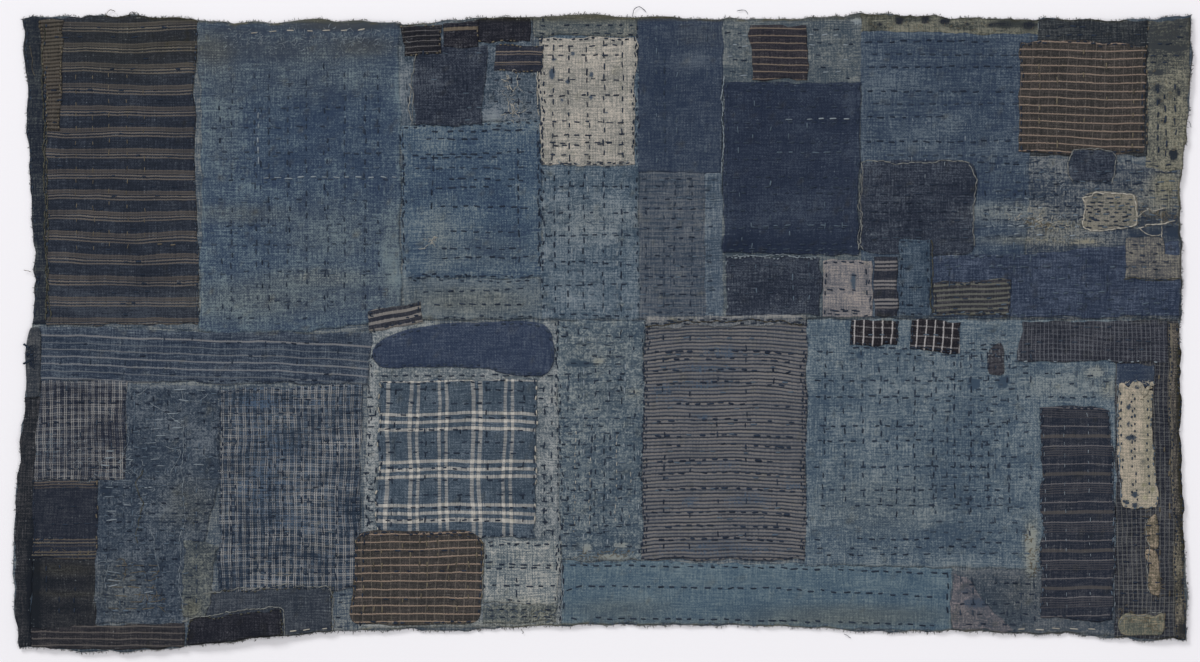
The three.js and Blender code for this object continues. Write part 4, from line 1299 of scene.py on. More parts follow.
class Sewing:
    """All the stitches of the cloth, kept as rows of numbers until they are made."""

    WIDTH = 1.4  # of a stitch, in millimetres
    SHAPE = ((-0.5, 0.45, -0.5), (-0.3, 1.0, 0.28), (0.3, 1.0, 0.28), (0.5, 0.45, -0.5))  # share, girth, rise
    SLIP, TURN, STRAY = 0.07, 0.09, 0.45  # how stitches vary: share of the pitch, radians, millimetres
    LONG, WIDE = 0.16, 0.14  # how much their lengths and widths differ
    SIDES = "frnl"  # far, right, near and left
    FIRST, DRIFT, SKEW = 0.4, 0.1, 0.08  # of the spacing: where rows start, and how they stray and turn

    def __init__(self) -> None:
        """Starts with no stitches."""
        self.rng = np.random.default_rng(SEED)
        self.stitches: dict[Yarn, list[ndarray]] = {yarn: [] for yarn in Yarn}

    def row(
        self, yarn: Yarn, points: tuple, pitch: float, length: float,
        chance: float = 0.96, width: float = 1.0,
    ) -> None:
        """Sews one row of running stitches.

        Args:
            yarn: The thread.
            points: The points that the row goes through.
            pitch: From one stitch to the next, in millimetres.
            length: Of a stitch.
            chance: The share of the stitches that are still there.
            width: Of a stitch, as a share of the usual one.
        """
        line = np.array(points, float)
        lengths = np.concatenate([[0], np.cumsum(np.linalg.norm(np.diff(line, axis=0), axis=1))])
        count = int(lengths[-1] / pitch)
        if count < 1:
            return
        rng = self.rng
        at = (np.arange(count) + rng.uniform(0.2, 0.8) + rng.normal(0, self.SLIP, count)) * pitch
        at = at[(rng.random(count) < chance) & (at < lengths[-1])]
        place = np.stack([np.interp(at, lengths, line[:, axis]) for axis in (0, 1)], 1)
        ahead = np.stack([np.interp(at + 1, lengths, line[:, axis]) for axis in (0, 1)], 1)
        back = np.stack([np.interp(at - 1, lengths, line[:, axis]) for axis in (0, 1)], 1)
        angle = np.arctan2(ahead[:, 1] - back[:, 1], ahead[:, 0] - back[:, 0])
        angle += rng.normal(0, self.TURN, len(at))
        place += rng.normal(0, self.STRAY, place.shape)
        longs = length * rng.normal(1, self.LONG, len(at)).clip(0.5, 1.5)
        wides = width * self.WIDTH * rng.normal(1, self.WIDE, len(at)).clip(0.6, 1.4)
        self.stitches[yarn].append(np.column_stack([place, angle, longs, wides, rng.random(len(at))]))

    def fill(
        self, yarn: Yarn, box: tuple[float, float, float, float], run: Run, spacing: float, chance: float,
        pitch: float = 11.0, length: float = 6.2, width: float = 1.0,
    ) -> None:
        """Sews rows over a part of the cloth.

        Args:
            yarn: The thread.
            box: Its left, far, right and near limits on the table.
            run: Which way the rows run.
            spacing: Between rows.
            chance: The share of the stitches that are still there.
            pitch: From one stitch to the next.
            length: Of a stitch.
            width: Of a stitch, as a share of the usual one.
        """
        left, far, right, near = box
        low, high = (far, near) if run is ACROSS else (left, right)
        for start in np.arange(low + spacing * self.FIRST, high, spacing):
            a = start + self.rng.normal(0, spacing * self.DRIFT)
            b = a + self.rng.normal(0, spacing * self.SKEW)
            points = ((left, a), (right, b)) if run is ACROSS else ((a, far), (b, near))
            self.row(yarn, points, pitch, length, chance, width=width)

    def border(
        self, yarn: Yarn, outline: Outline, sides: str, inset: float,
        pitch: float, length: float, chance: float,
    ) -> None:
        """Sews along a piece's edges.

        Args:
            yarn: The thread.
            outline: The piece's outline.
            sides: The sides to sew: f for far, r for right, n for near and l for left.
            inset: How far inside the edge.
            pitch: From one stitch to the next.
            length: Of a stitch.
            chance: The share of the stitches that are still there.
        """
        for index in map(self.SIDES.index, sides):
            line = outline.sides[index] - inset * np.array(Outline.OUTWARD[index])
            self.row(yarn, line, pitch, length, chance)

    def holes(self) -> ndarray:
        """Finds both ends of every stitch, where the needle went through.

        Returns:
            Their places on the table.
        """
        rows = np.vstack([r for rows in self.stitches.values() for r in rows])
        reach = rows[:, 3:4] / 2 * np.stack([np.cos(rows[:, 2]), np.sin(rows[:, 2])], 1)
        return np.vstack([rows[:, :2] - reach, rows[:, :2] + reach])

    def make(self, yarn: Yarn, stack: Stack, material: Material) -> Object | None:
        """Makes the stitches of one thread as one mesh.

        Args:
            yarn: The thread.
            stack: The layers of cloth that they lie on.
            material: The thread's material.

        Returns:
            The stitches' object, or None where there are none.
        """
        if not self.stitches[yarn]:
            return None
        rows = np.vstack(self.stitches[yarn])
        x, y, angle, longs, wides, tones = rows.T
        shares, girths, rises = np.array(self.SHAPE).T
        px = x[:, None] + shares * longs[:, None] * np.cos(angle)[:, None]
        py = y[:, None] + shares * longs[:, None] * np.sin(angle)[:, None]
        paths = np.stack([px, py, stack.height(px, py) + rises], -1)
        return tubes(f"{yarn.name.lower()}_stitches", paths, girths * wides[:, None] / 2, tones, material)


def tubes(name: str, paths: ndarray, radii: ndarray, tones: ndarray, material: Material) -> Object:
    """Makes many short threads, four-sided and closed, as one mesh.

    Args:
        name: The piece's name.
        paths: The points that each thread follows, in millimetres on the table.
        radii: The thread's radius at each point.
        tones: How light each thread is, from 0 to 1.
        material: The thread's material.

    Returns:
        The threads' object.
    """
    count, steps = paths.shape[:2]
    along = np.gradient(paths, axis=1)
    along[..., 2] *= 0.3  # rings stay nearly upright where a thread dips
    along /= np.linalg.norm(along, axis=2, keepdims=True) + 1e-9
    side = np.stack([-along[..., 1], along[..., 0], np.zeros((count, steps))], -1)
    side /= np.linalg.norm(side, axis=2, keepdims=True) + 1e-9
    up = np.array([0, 0, 1.0])
    ring = [side, up[None, None] + 0 * side, -side, -up[None, None] + 0 * side]
    points = np.stack([paths + r * radii[..., None] for r in ring], 2).reshape(-1, 3)
    points[:, 2] = np.maximum(points[:, 2], 0.0)
    start = (np.arange(count) * steps * 4)[:, None, None]
    step = (np.arange(steps - 1) * 4)[None, :, None]
    turn = np.arange(4)[None, None, :]
    a, b = start + step + turn, start + step + (turn + 1) % 4
    walls = np.stack([a, b, b + 4, a + 4], -1).reshape(-1, 4)
    first = start[:, 0] + np.array([3, 2, 1, 0])
    last = start[:, 0] + (steps - 1) * 4 + np.arange(4)
    faces = np.vstack([walls, first, last])
    mesh = bpy.data.meshes.new(name)
    mesh.vertices.add(len(points))
    mesh.vertices.foreach_set("co", in_frame(*points.T).astype(np.float32).ravel())
    mesh.loops.add(faces.size)
    mesh.loops.foreach_set("vertex_index", faces.astype(np.int32).ravel())
    mesh.polygons.add(len(faces))
    mesh.polygons.foreach_set("loop_start", np.arange(0, faces.size, 4, dtype=np.int32))
    mesh.polygons.foreach_set("use_smooth", np.ones(len(faces), bool))
    mesh.update(calc_edges=True)
    attribute = mesh.attributes.new("tone", "FLOAT", "POINT")
    attribute.data.foreach_set("value", np.repeat(tones, steps * 4).astype(np.float32))
    mesh.materials.append(material)
    made = bpy.data.objects.new(name, mesh)
    bpy.context.scene.collection.objects.link(made)
    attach(made, "root")
    return made


def yarn_material(yarn: Yarn) -> Material:
    """Makes the finish of a sewing thread: soft two-ply cotton, matt, each length a little lighter or darker.

    Args:
        yarn: The thread.

    Returns:
        The material.
    """
    made = bpy.data.materials.new(f"{yarn.name.lower()}_cotton_thread")
    made.use_nodes = True
    tree = made.node_tree
    shader = tree.nodes["Principled BSDF"]
    tone = node(tree, "Attribute", {"attribute_name": "tone"}).outputs["Fac"]
    place = node(tree, "TexCoord").outputs["Object"]
    settings = {"Scale": 1 / (PLY_SIZE * MM), "Detail": 1.0}
    ply = node(tree, "TexNoise", settings, {"Vector": place}).outputs[0]
    tone = node(tree, "Math", {"operation": "MULTIPLY_ADD", 1: YARN_SPREAD}, {0: tone, 2: ply}).outputs[0]
    ramp = node(tree, "ValToRGB", None, {0: tone})
    elements = ramp.color_ramp.elements
    for element, position, colour in zip(elements, YARN_TONES, yarn.value):
        element.position, element.color = position, linear(colour)
    tree.links.new(ramp.outputs[0], shader.inputs["Base Color"])
    shader.inputs["Roughness"].default_value = YARN_ROUGHNESS
    shader.inputs["IOR"].default_value = COTTON_IOR
    shader.inputs["Specular IOR Level"].default_value = YARN_SPECULAR
    bump = node(tree, "Bump", YARN_BUMP, {"Height": ply})
    tree.links.new(bump.outputs[0], shader.inputs["Normal"])
    return made


# Long dark rows, and pale ones, that show best: thread and points
ROWS = (
    (NAVY, ((435, 132), (536, 130))), (NAVY, ((420, 139), (480, 139))),
    (NAVY, ((412, 155), (470, 154), (538, 151))), (NAVY, ((415, 158.5), (500, 157))),
    (NAVY, ((436, 179), (538, 180))), (NAVY, ((435, 188), (520, 186))), (NAVY, ((440, 206), (538, 207))),
    (NAVY, ((450, 231), (520, 233))), (NAVY, ((437, 249), (520, 248))), (NAVY, ((440, 258), (536, 257))),
    (NAVY, ((420, 275), (536, 277))), (NAVY, ((403, 128), (404, 276))), (NAVY, ((434, 150), (431, 215))),
    (NAVY, ((518, 150), (519, 276))), (NAVY, ((538, 126), (539, 276))), (NAVY, ((424, 292), (536, 289))),
    (NAVY, ((430, 305), (536, 304))), (DUSK, ((412, 168), (536, 168))),
    (NAVY, ((865, 42), (925, 41), (1000, 42))), (NAVY, ((865, 67), (1018, 67))),
    (NAVY, ((866, 91), (1018, 92))), (NAVY, ((866, 117), (956, 117))), (NAVY, ((865, 142), (1018, 141))),
    (DUSK, ((870, 155), (1018, 156))), (NAVY, ((978, 163), (1030, 165))), (DUSK, ((866, 54), (1018, 55))),
    (DUSK, ((866, 104), (1018, 104))), (NAVY, ((565, 590), (586, 586), (760, 588), (946, 597))),
    (NAVY, ((566, 618), (700, 619), (850, 622), (948, 626))), (NAVY, ((563, 566), (564, 620))),
    (NAVY, ((947, 572), (948, 628))), (NAVY, ((565, 565), (760, 567), (948, 573))),
    (NAVY, ((487, 545), (556, 544))), (NAVY, ((486, 563), (558, 565))), (NAVY, ((486, 568), (558, 567))),
    (NAVY, ((486, 585), (556, 586))), (NAVY, ((516, 572), (517, 602))),
    (PALE, ((778, 119.6), (856, 118.6))), (FADED, ((776, 153), (857, 152))),
    (DUSK, ((735, 187), (857, 188))), (DUSK, ((735, 249), (857, 250))),
    (FADED, ((735, 229), (790, 225), (857, 226))), (PALE, ((258, 112), (259, 178))),
    (PALE, ((260, 178), (400, 177))), (FADED, ((205, 160), (260, 158))),
    (FADED, ((1046, 278), (1070, 278))), (FADED, ((1052, 293), (1120, 292))),
    (FADED, ((1014, 241), (1014, 278))), (FADED, ((1030, 253), (1030, 268))),
    (NAVY, ((592, 420), (590, 540))), (NAVY, ((604, 430), (604, 540))), (NAVY, ((866, 268), (866, 310))),
    (NAVY, ((826, 311), (868, 311))), (DUSK, ((664, 50), (665, 165))), (NAVY, ((196, 381), (365, 380))),
    (NAVY, ((848, 347), (1000, 350))), (NAVY, ((1157, 84), (1158, 160))), (NAVY, ((1164, 90), (1166, 162))),
    (NAVY, ((1174, 82), (1175, 150))), (NAVY, ((868, 186), (970, 184))), (NAVY, ((866, 195), (972, 194))),
    (NAVY, ((866, 203), (972, 203))), (NAVY, ((868, 212), (972, 212))), (NAVY, ((868, 220), (972, 221))),
    (DUSK, ((866, 230), (972, 230))), (DUSK, ((866, 238), (972, 238))),
)
# Rows over whole fields: thread, box, run, spacing and the share that is left
FILLS = (
    (DUSK, (228, 70, 396, 322), DOWN, 18, 0.8), (DUSK, (205, 95, 396, 322), ACROSS, 24, 0.4),
    (FADED, (205, 60, 396, 322), ACROSS, 15, 0.25), (NAVY, (205, 60, 396, 322), DOWN, 36, 0.3),
    (NAVY, (544, 170, 636, 316), DOWN, 17.3, 0.9), (NAVY, (544, 174, 636, 316), ACROSS, 25.5, 0.9),
    (PALE, (544, 170, 636, 316), DOWN, 17.3, 0.2), (FADED, (544, 170, 636, 316), ACROSS, 12, 0.4),
    (DUSK, (642, 176, 704, 316), DOWN, 14.5, 0.75), (NAVY, (642, 176, 704, 316), ACROSS, 9.6, 0.55),
    (FADED, (642, 176, 720, 316), ACROSS, 9.6, 0.6), (DUSK, (706, 178, 721, 316), ACROSS, 9, 0.6),
    (FADED, (706, 178, 721, 316), ACROSS, 13, 0.5), (FADED, (642, 24, 718, 168), DOWN, 27, 0.3),
    (FADED, (728, 88, 856, 254), DOWN, 18, 0.15), (DUSK, (728, 82, 856, 254), ACROSS, 17.5, 0.75),
    (DUSK, (728, 260, 816, 314), ACROSS, 14, 0.45), (FADED, (728, 262, 816, 314), DOWN, 19, 0.4),
    (PALE, (726, 30, 748, 80), ACROSS, 11, 0.35), (NAVY, (810, 26, 858, 80), ACROSS, 12, 0.65),
    (PALE, (810, 30, 858, 80), ACROSS, 12.5, 0.4), (NAVY, (726, 30, 748, 80), ACROSS, 13, 0.5),
    (NAVY, (980, 190, 1080, 232), DOWN, 10, 0.45), (NAVY, (1030, 160, 1178, 236), ACROSS, 10.5, 0.5),
    (FADED, (980, 170, 1178, 236), ACROSS, 8, 0.5), (PALE, (980, 195, 1080, 236), ACROSS, 9, 0.35),
    (DUSK, (980, 160, 1178, 236), ACROSS, 9, 0.5), (NAVY, (1150, 24, 1186, 80), ACROSS, 9, 0.4),
    (NAVY, (1042, 24, 1144, 42), ACROSS, 9, 0.4), (DUSK, (940, 250, 1176, 314), ACROSS, 14, 0.45),
    (FADED, (940, 262, 1176, 314), ACROSS, 17, 0.3), (DUSK, (940, 258, 1120, 314), DOWN, 20, 0.35),
    (NAVY, (1128, 242, 1178, 276), ACROSS, 8, 0.5), (TAN, (1028, 50, 1140, 150), DOWN, 23, 0.35),
    (NAVY, (546, 41, 633, 162), DOWN, 17.2, 0.95), (NAVY, (546, 42, 633, 62), ACROSS, 9.5, 0.8),
    (NAVY, (546, 72, 633, 164), ACROSS, 21, 0.75), (NAVY, (548, 134, 633, 164), ACROSS, 8.5, 0.7),
    (NAVY, (492, 76, 538, 118), ACROSS, 11, 0.6), (NAVY, (492, 76, 538, 118), DOWN, 13, 0.5),
    (NAVY, (536, 22, 636, 36), ACROSS, 8.5, 0.8), (NAVY, (404, 60, 412, 124), DOWN, 6, 0.6),
    (FADED, (418, 50, 484, 122), ACROSS, 13, 0.3), (NAVY, (418, 50, 484, 122), DOWN, 11, 0.4),
    (TAN, (110, 242, 192, 250), ACROSS, 6, 0.6), (NAVY, (52, 24, 192, 320), ACROSS, 10.6, 0.2),
    (NAVY, (46, 336, 366, 384), ACROSS, 15, 0.2), (DUSK, (46, 334, 366, 384), DOWN, 34, 0.3),
    (NAVY, (44, 390, 124, 485), ACROSS, 23.7, 0.9), (DUSK, (44, 384, 124, 478), DOWN, 15, 0.3),
    (NAVY, (130, 390, 218, 478), ACROSS, 9, 0.5), (FADED, (130, 388, 218, 478), ACROSS, 13, 0.4),
    (NAVY, (130, 390, 218, 478), DOWN, 16, 0.4), (FADED, (130, 388, 218, 478), DOWN, 11, 0.4),
    (NAVY, (102, 484, 218, 545), ACROSS, 8.5, 0.5), (FADED, (102, 484, 200, 620), ACROSS, 9.5, 0.4),
    (NAVY, (102, 545, 184, 620), ACROSS, 9, 0.5), (FADED, (102, 484, 200, 620), DOWN, 13, 0.4),
    (NAVY, (186, 546, 206, 612), ACROSS, 9, 0.6), (DUSK, (102, 484, 200, 620), DOWN, 17, 0.4),
    (NAVY, (36, 484, 95, 554), ACROSS, 16, 0.4), (NAVY, (38, 562, 94, 624), DOWN, 17, 0.4),
    (NAVY, (224, 394, 358, 586), DOWN, 18, 0.8), (NAVY, (224, 394, 358, 586), ACROSS, 14.6, 0.3),
    (DUSK, (232, 394, 358, 586), DOWN, 18, 0.4), (FADED, (224, 394, 358, 586), ACROSS, 14.6, 0.3),
    (NAVY, (334, 590, 352, 626), ACROSS, 8, 0.7), (NAVY, (366, 384, 376, 530), DOWN, 7, 0.5),
    (NAVY, (365, 384, 378, 530), ACROSS, 9.5, 0.8), (NAVY, (539, 384, 556, 536), ACROSS, 9.5, 0.8),
    (NAVY, (540, 382, 558, 536), DOWN, 9, 0.7), (NAVY, (384, 384, 534, 534), ACROSS, 13.2, 0.75),
    (NAVY, (384, 384, 534, 534), DOWN, 31, 0.5), (NAVY, (378, 374, 556, 380), ACROSS, 5, 0.9),
    (TAN, (360, 538, 478, 620), DOWN, 9.4, 0.4), (NAVY, (360, 538, 478, 620), ACROSS, 24, 0.5),
    (NAVY, (486, 608, 556, 622), ACROSS, 6, 0.6), (NAVY, (560, 324, 642, 420), ACROSS, 9, 0.32),
    (FADED, (560, 324, 642, 556), ACROSS, 7.5, 0.45), (NAVY, (560, 420, 640, 556), ACROSS, 11, 0.35),
    (PALE, (562, 326, 640, 556), DOWN, 14, 0.22), (NAVY, (562, 330, 640, 556), DOWN, 13.5, 0.35),
    (FADED, (650, 332, 802, 554), ACROSS, 14, 0.35), (NAVY, (655, 330, 800, 554), DOWN, 27, 0.35),
    (NAVY, (815, 350, 1010, 520), DOWN, 18.6, 0.8), (NAVY, (815, 346, 1010, 530), ACROSS, 22, 0.75),
    (DUSK, (930, 340, 1034, 562), ACROSS, 11, 0.4), (FADED, (812, 326, 1034, 562), ACROSS, 24, 0.3),
    (NAVY, (812, 535, 1000, 562), ACROSS, 9, 0.5), (DUSK, (930, 350, 1034, 540), DOWN, 12, 0.4),
    (NAVY, (1020, 368, 1112, 404), ACROSS, 12, 0.5), (FADED, (1030, 368, 1112, 404), DOWN, 14, 0.4),
    (NAVY, (956, 580, 1036, 626), ACROSS, 10, 0.6), (DUSK, (956, 576, 1036, 628), DOWN, 12, 0.5),
    (DUSK, (1024, 324, 1166, 360), ACROSS, 12, 0.4), (NAVY, (1120, 512, 1168, 612), ACROSS, 9.5, 0.5),
    (TAN, (1156, 368, 1172, 634), DOWN, 5.2, 0.2), (NAVY, (826, 266, 868, 312), ACROSS, 18, 0.6),
    (NAVY, (902, 244, 928, 312), ACROSS, 18, 0.4), (NAVY, (650, 318, 804, 325), ACROSS, 3.6, 0.8),
)
# Rows along edges: thread, piece, sides, inset, pitch and the share that is left
EDGE_ROWS = (
    (NAVY, "cream_patch", "frnl", 1.6, 6.5, 0.9), (NAVY, "west_two_field", "frnl", 2.4, 9.5, 0.9),
    (NAVY, "plaid_patch", "frnl", 2.0, 8.0, 0.8), (CREAM, "plaid_patch", "rl", 0.4, 12.0, 0.7),
    (NAVY, "pale_grey_scrap", "frnl", 2.4, 10.0, 0.6), (DUSK, "deep_indigo_field", "frnl", 2.4, 11.0, 0.6),
    (PALE, "charcoal_low", "f", 0.6, 4.2, 0.95), (PALE, "charcoal_low", "l", 0.8, 6.0, 0.6),
    (NAVY, "blue_scrap", "frnl", 2.6, 9.0, 0.9), (NAVY, "beige_scrap", "frnl", 2.2, 9.0, 0.6),
    (NAVY, "olive_stripe_scrap", "frnl", 2.0, 8.0, 0.8),
    (NAVY, "brown_check_north", "frnl", 2.0, 7.85, 0.8), (NAVY, "brown_line_patch", "frnl", 2.0, 8.0, 0.8),
    (TAN, "brown_line_patch", "rl", 0.6, 8.0, 0.5), (NAVY, "grey_stripe_field", "frnl", 1.6, 6.5, 0.9),
    (NAVY, "grey_stripe_field", "rl", 4.4, 7.0, 0.8), (FADED, "navy_line_patch", "lr", 0.8, 7.0, 0.6),
    (NAVY, "navy_line_patch", "frnl", 2.0, 7.0, 0.6), (FADED, "long_indigo", "fn", 2.2, 9.0, 0.5),
    (PALE, "dark_check_strip", "n", 0.6, 6.0, 0.3), (NAVY, "small_check_left", "rnl", 1.4, 6.0, 0.7),
    (NAVY, "small_check_right", "rnl", 1.4, 6.0, 0.7), (DUSK, "pill_patch", "frnl", 2.4, 8.5, 0.8),
    (NAVY, "fine_check_middle", "lfn", 2.0, 7.0, 0.9), (NAVY, "fine_check_west", "rn", 1.8, 7.5, 0.8),
    (NAVY, "mottled_field", "lr", 2.0, 8.0, 0.9), (NAVY, "navy_west_scrap", "lr", 2.0, 7.0, 0.8),
    (TAN, "navy_west_scrap", "r", 0.8, 8.0, 0.5), (NAVY, "middle_north_field", "lr", 2.2, 9.0, 0.9),
    (NAVY, "plaid_ground", "lr", 2.4, 9.0, 0.8), (TAN, "tick_strip", "lr", 1.0, 3.8, 0.8),
    (DUSK, "striped_end", "rl", 1.6, 6.0, 0.6), (NAVY, "moss_north_strip", "fn", 2.2, 9.5, 0.7),
    (TAN, "two_line_scrap", "fn", 0.6, 4.0, 0.6), (TAN, "fine_line_scrap", "fnr", 0.6, 4.0, 0.5),
    (TAN, "black_north_scrap", "nl", 0.6, 4.4, 0.4), (NAVY, "right_selvedge", "lr", 1.6, 4.6, 0.8),
    (TAN, "tan_corner", "l", 1.4, 6.0, 0.5), (NAVY, "three_line_scrap", "frnl", 2.0, 7.0, 0.6),
    (DUSK, "left_band_upper", "l", 2.4, 7.0, 0.5), (FADED, "teal_hem_strip", "fn", 1.2, 6.0, 0.4),
    (MOSS, "black_hem_scrap", "frl", 0.5, 4.5, 0.6), (MOSS, "blue_hem_strip", "fr", 0.5, 4.5, 0.6),
    (FADED, "cream_east_strip", "frnl", 0.6, 5.0, 0.5),
)


def sew(sewing: Sewing, pieces: dict[str, Piece]) -> None:
    """Sews the cloth: its rows of running stitches, its mended parts and the patches' edges.

    Args:
        sewing: Where the stitches are kept.
        pieces: The cut pieces, by name.
    """
    for yarn, points in ROWS:
        sewing.row(yarn, points, 11.6, 7.0, width=1.1)
    for y in (352, 360, 371, 384, 405, 421, 436, 446, 461, 474, 490, 513, 527, 540):
        sewing.row(NAVY, ((652, y), (726, y - 2), (802, y + 2)), 11, 6.6, 0.8, width=1.3)
    for x in (1043, 1063, 1087, 1111):
        sewing.row(PALE, ((x, 412), (x + 2, 520), (x + 3, 616)), 9.4, 4.4, 0.7, width=0.45)
    for x in (76, 93, 109, 127, 144):
        sewing.row(TAN, ((x, 70), (x + 1, 255)), 13, 5.5, 0.75, width=0.55)
    for y in (565, 572, 580, 587, 595, 601, 608):
        sewing.row(TAN, ((109, y), (162, y)), 17, 14, 0.9, width=0.45)
    for x in (912, 926, 945, 965, 998):
        sewing.row(PALE, ((x, 118), (x - 1, 190)), 13, 4.5, 0.6, width=0.5)
    for y in (203, 212, 221):
        sewing.row(NAVY, ((1085, y), (1135, y + 1)), 8.6, 5.0, 0.95)
    for x, far, near in ((576, 428, 534), (591, 440, 528), (617, 432, 524), (631, 462, 520)):
        sewing.row(CREAM, ((x, far), (x - 2, near)), 7.0, 4.4, 0.75, width=0.45)
    # Thin pale darning over the worn west field
    for box in ((100, 440, 170, 530), (150, 388, 216, 470), (104, 560, 170, 615)):
        sewing.fill(PALE, box, ACROSS, 7.5, 0.4, 19, 11, width=0.8)
    # White tacking along the hems
    sewing.row(CREAM, ((250, 34), (290, 31), (385, 30)), 18, 8.5, 1.0, width=0.8)
    sewing.row(CREAM, ((283, 632), (340, 627)), 16.8, 6.5, 1.0, width=0.8)
    sewing.row(CREAM, ((1012, 629), (1110, 629)), 18, 8.5, 1.0, width=0.8)
    # Short stitches down the cream strip
    for points in (((1120.5, 388), (1120, 440), (1123.5, 505)), ((1132, 390), (1131, 450), (1132.5, 500)),
                   ((1134, 395), (1134.5, 450), (1136.5, 506)), ((1147, 396), (1146.5, 450), (1149, 500))):
        sewing.row(DUSK, points, 8.2, 3.2, 0.9, width=1.2)
    for row in FILLS:
        sewing.fill(*row)
    for yarn, name, sides, inset, pitch, chance in EDGE_ROWS:
        length = min(4.8, pitch * 0.62)
        sewing.border(yarn, pieces[name].outline, sides, inset, pitch, length, chance)


# Couched cords: thread, width and points
CORDS = (
    (MOSS, 1.5, ((44.5, 24), (44, 80), (44.5, 128), (44.5, 170), (46, 230), (46.5, 280), (47, 322))),
    (MOSS, 1.3, ((47.5, 128), (47, 170), (48, 230), (49, 280), (49, 322))),
    (PALE, 1.3, ((723.5, 76), (724.5, 95), (722.5, 120), (723, 150), (721, 174))),
    (FLAX, 1.1,
     ((860.5, 163), (861.5, 174), (862, 186), (859.5, 205), (860, 222), (861.5, 232), (858, 250))),
    (FLAX, 0.8, ((860, 174), (862.5, 190), (860, 212), (861, 226), (859, 236), (857.5, 249), (862, 249.5))),
    (FLAX, 1.0,
     ((860, 163.5), (887, 161.5), (912, 162), (937, 161.5), (970, 161.5), (975, 173), (976, 187),
      (973, 205), (972.5, 230), (974, 248))),
    (CREAM, 1.4,
     ((1081.5, 198.5), (1091, 192), (1112, 193), (1125, 195), (1136, 195), (1136.5, 213), (1137, 227),
      (1122, 228), (1110, 229.5), (1085, 231), (1080.5, 220), (1085, 212.5), (1086, 205), (1081.5, 198.5))),
    (CREAM, 1.3, ((1138, 228), (1152, 226), (1166, 222.5), (1179, 219))),
    (CREAM, 0.8,
     ((1137, 217), (1145, 214), (1152, 206), (1147, 207), (1144, 212), (1156, 210), (1164, 208))),
    (CREAM, 0.8, ((1139, 227), (1146, 233), (1157, 237), (1163, 233))),
    (CREAM, 0.8, ((1160, 205), (1161, 215), (1160.5, 228), (1162, 240))),
    (FLAX, 1.0, ((1073.5, 150), (1095, 150.5), (1116.5, 151.5), (1114, 166), (1111.5, 184))),
    (FLAX, 1.2, ((1073, 151), (1070, 155), (1067.5, 165), (1069, 176), (1074, 183))),
    (FLAX, 0.8, ((416, 55.5), (413.7, 72), (412, 87), (411, 96), (413, 104), (412, 124))),
    (CREAM, 0.6, ((409, 84), (413, 95), (410, 105), (409, 114), (413, 123))),
    (CREAM, 0.7, ((501.5, 79.5), (506, 81), (509, 78), (508, 74))),
    (CREAM, 0.8, ((518, 75), (516.5, 84), (517, 91.5), (515, 96), (507.5, 91.5), (506, 85.5), (509.7, 81))),
    (CREAM, 0.8,
     ((509, 102), (506, 105), (509, 111), (510.5, 115.5), (514, 114), (515, 108), (512, 103.5),
      (509, 102))),
    (CREAM, 0.9, ((537.4, 72), (536, 79.5), (537.4, 90), (538, 102), (536.7, 108), (539, 115.5))),
    (MOSS, 1.2, ((930.5, 240), (932, 262), (930.5, 290), (931.5, 316))),
    (FLAX, 1.1,
     ((204, 593), (216, 590.5), (260, 588.5), (268, 585.5), (287, 584.5), (290, 586.5), (308, 585),
      (332, 585.5), (334, 592), (330, 607), (333, 620), (332.5, 632))),
    (FLAX, 1.1, ((183, 620.5), (208, 615), (237, 612), (264, 608), (285.5, 605), (286, 620), (285.5, 636))),
    (PALE, 1.0, ((561.5, 563), (562.5, 590), (562, 622))),
    (PALE, 0.9, ((726, 256), (760, 255.5), (790, 256.5), (820, 257))),
    (FLAX, 0.9, ((483, 603), (483, 580), (484, 541))),
    (PALE, 0.9, ((1118, 384), (1117, 420), (1119, 460), (1121, 505))),
    (BROWN, 1.2, ((646, 326), (690, 322), (726, 320.5), (770, 321), (806, 324))),
    (MOSS, 0.9, ((1123, 279), (1150, 280), (1181, 279))),
    (PALE, 0.7,
     ((184, 425), (182, 440), (186, 448), (180, 458), (183, 470), (186, 490), (182, 500), (186, 520),
      (181, 540), (183, 560), (180, 580), (182, 600), (185, 612))),
    (PALE, 0.6, ((128, 386), (131, 398), (138, 396), (147, 390), (150, 384))),
    (PALE, 0.6,
     ((126, 420), (131, 424), (128, 434), (131, 446), (122, 454), (118, 462), (124, 474), (134, 476))),
    (PALE, 0.6, ((176, 384), (186, 388), (182, 400), (190, 406), (204, 402), (208, 392))),
    (PALE, 0.6, ((150, 402), (158, 408), (166, 414), (176, 418), (182, 424))),
    (PALE, 0.6, ((166, 446), (176, 452), (182, 444), (180, 462), (172, 466), (170, 478))),
    (PALE, 0.6, ((148, 524), (156, 536), (152, 548), (158, 560), (160, 574))),
    (PALE, 0.6, ((98, 562), (106, 560), (110, 568), (104, 578), (108, 590))),
    (MOSS, 0.9, ((144, 470), (138, 482), (136, 491), (146, 499), (140, 517), (138, 545))),
    (FLAX, 0.9,
     ((1147, 518), (1143.5, 529), (1146, 540), (1151, 548), (1144, 554), (1147, 566), (1145, 579),
      (1150, 594))),
    (FLAX, 0.9,
     ((1118, 624), (1120, 615), (1128, 612), (1138, 615.5), (1146, 612), (1154, 617.5), (1161, 611))),
    (NAVY, 2.2, ((30, 347), (26, 345.5), (22.5, 344.5))),
    (NAVY, 2.6, ((34, 354), (29, 355.5), (27, 358))),
    (NAVY, 2.0, ((31, 361), (26.5, 363), (22, 364))),
)
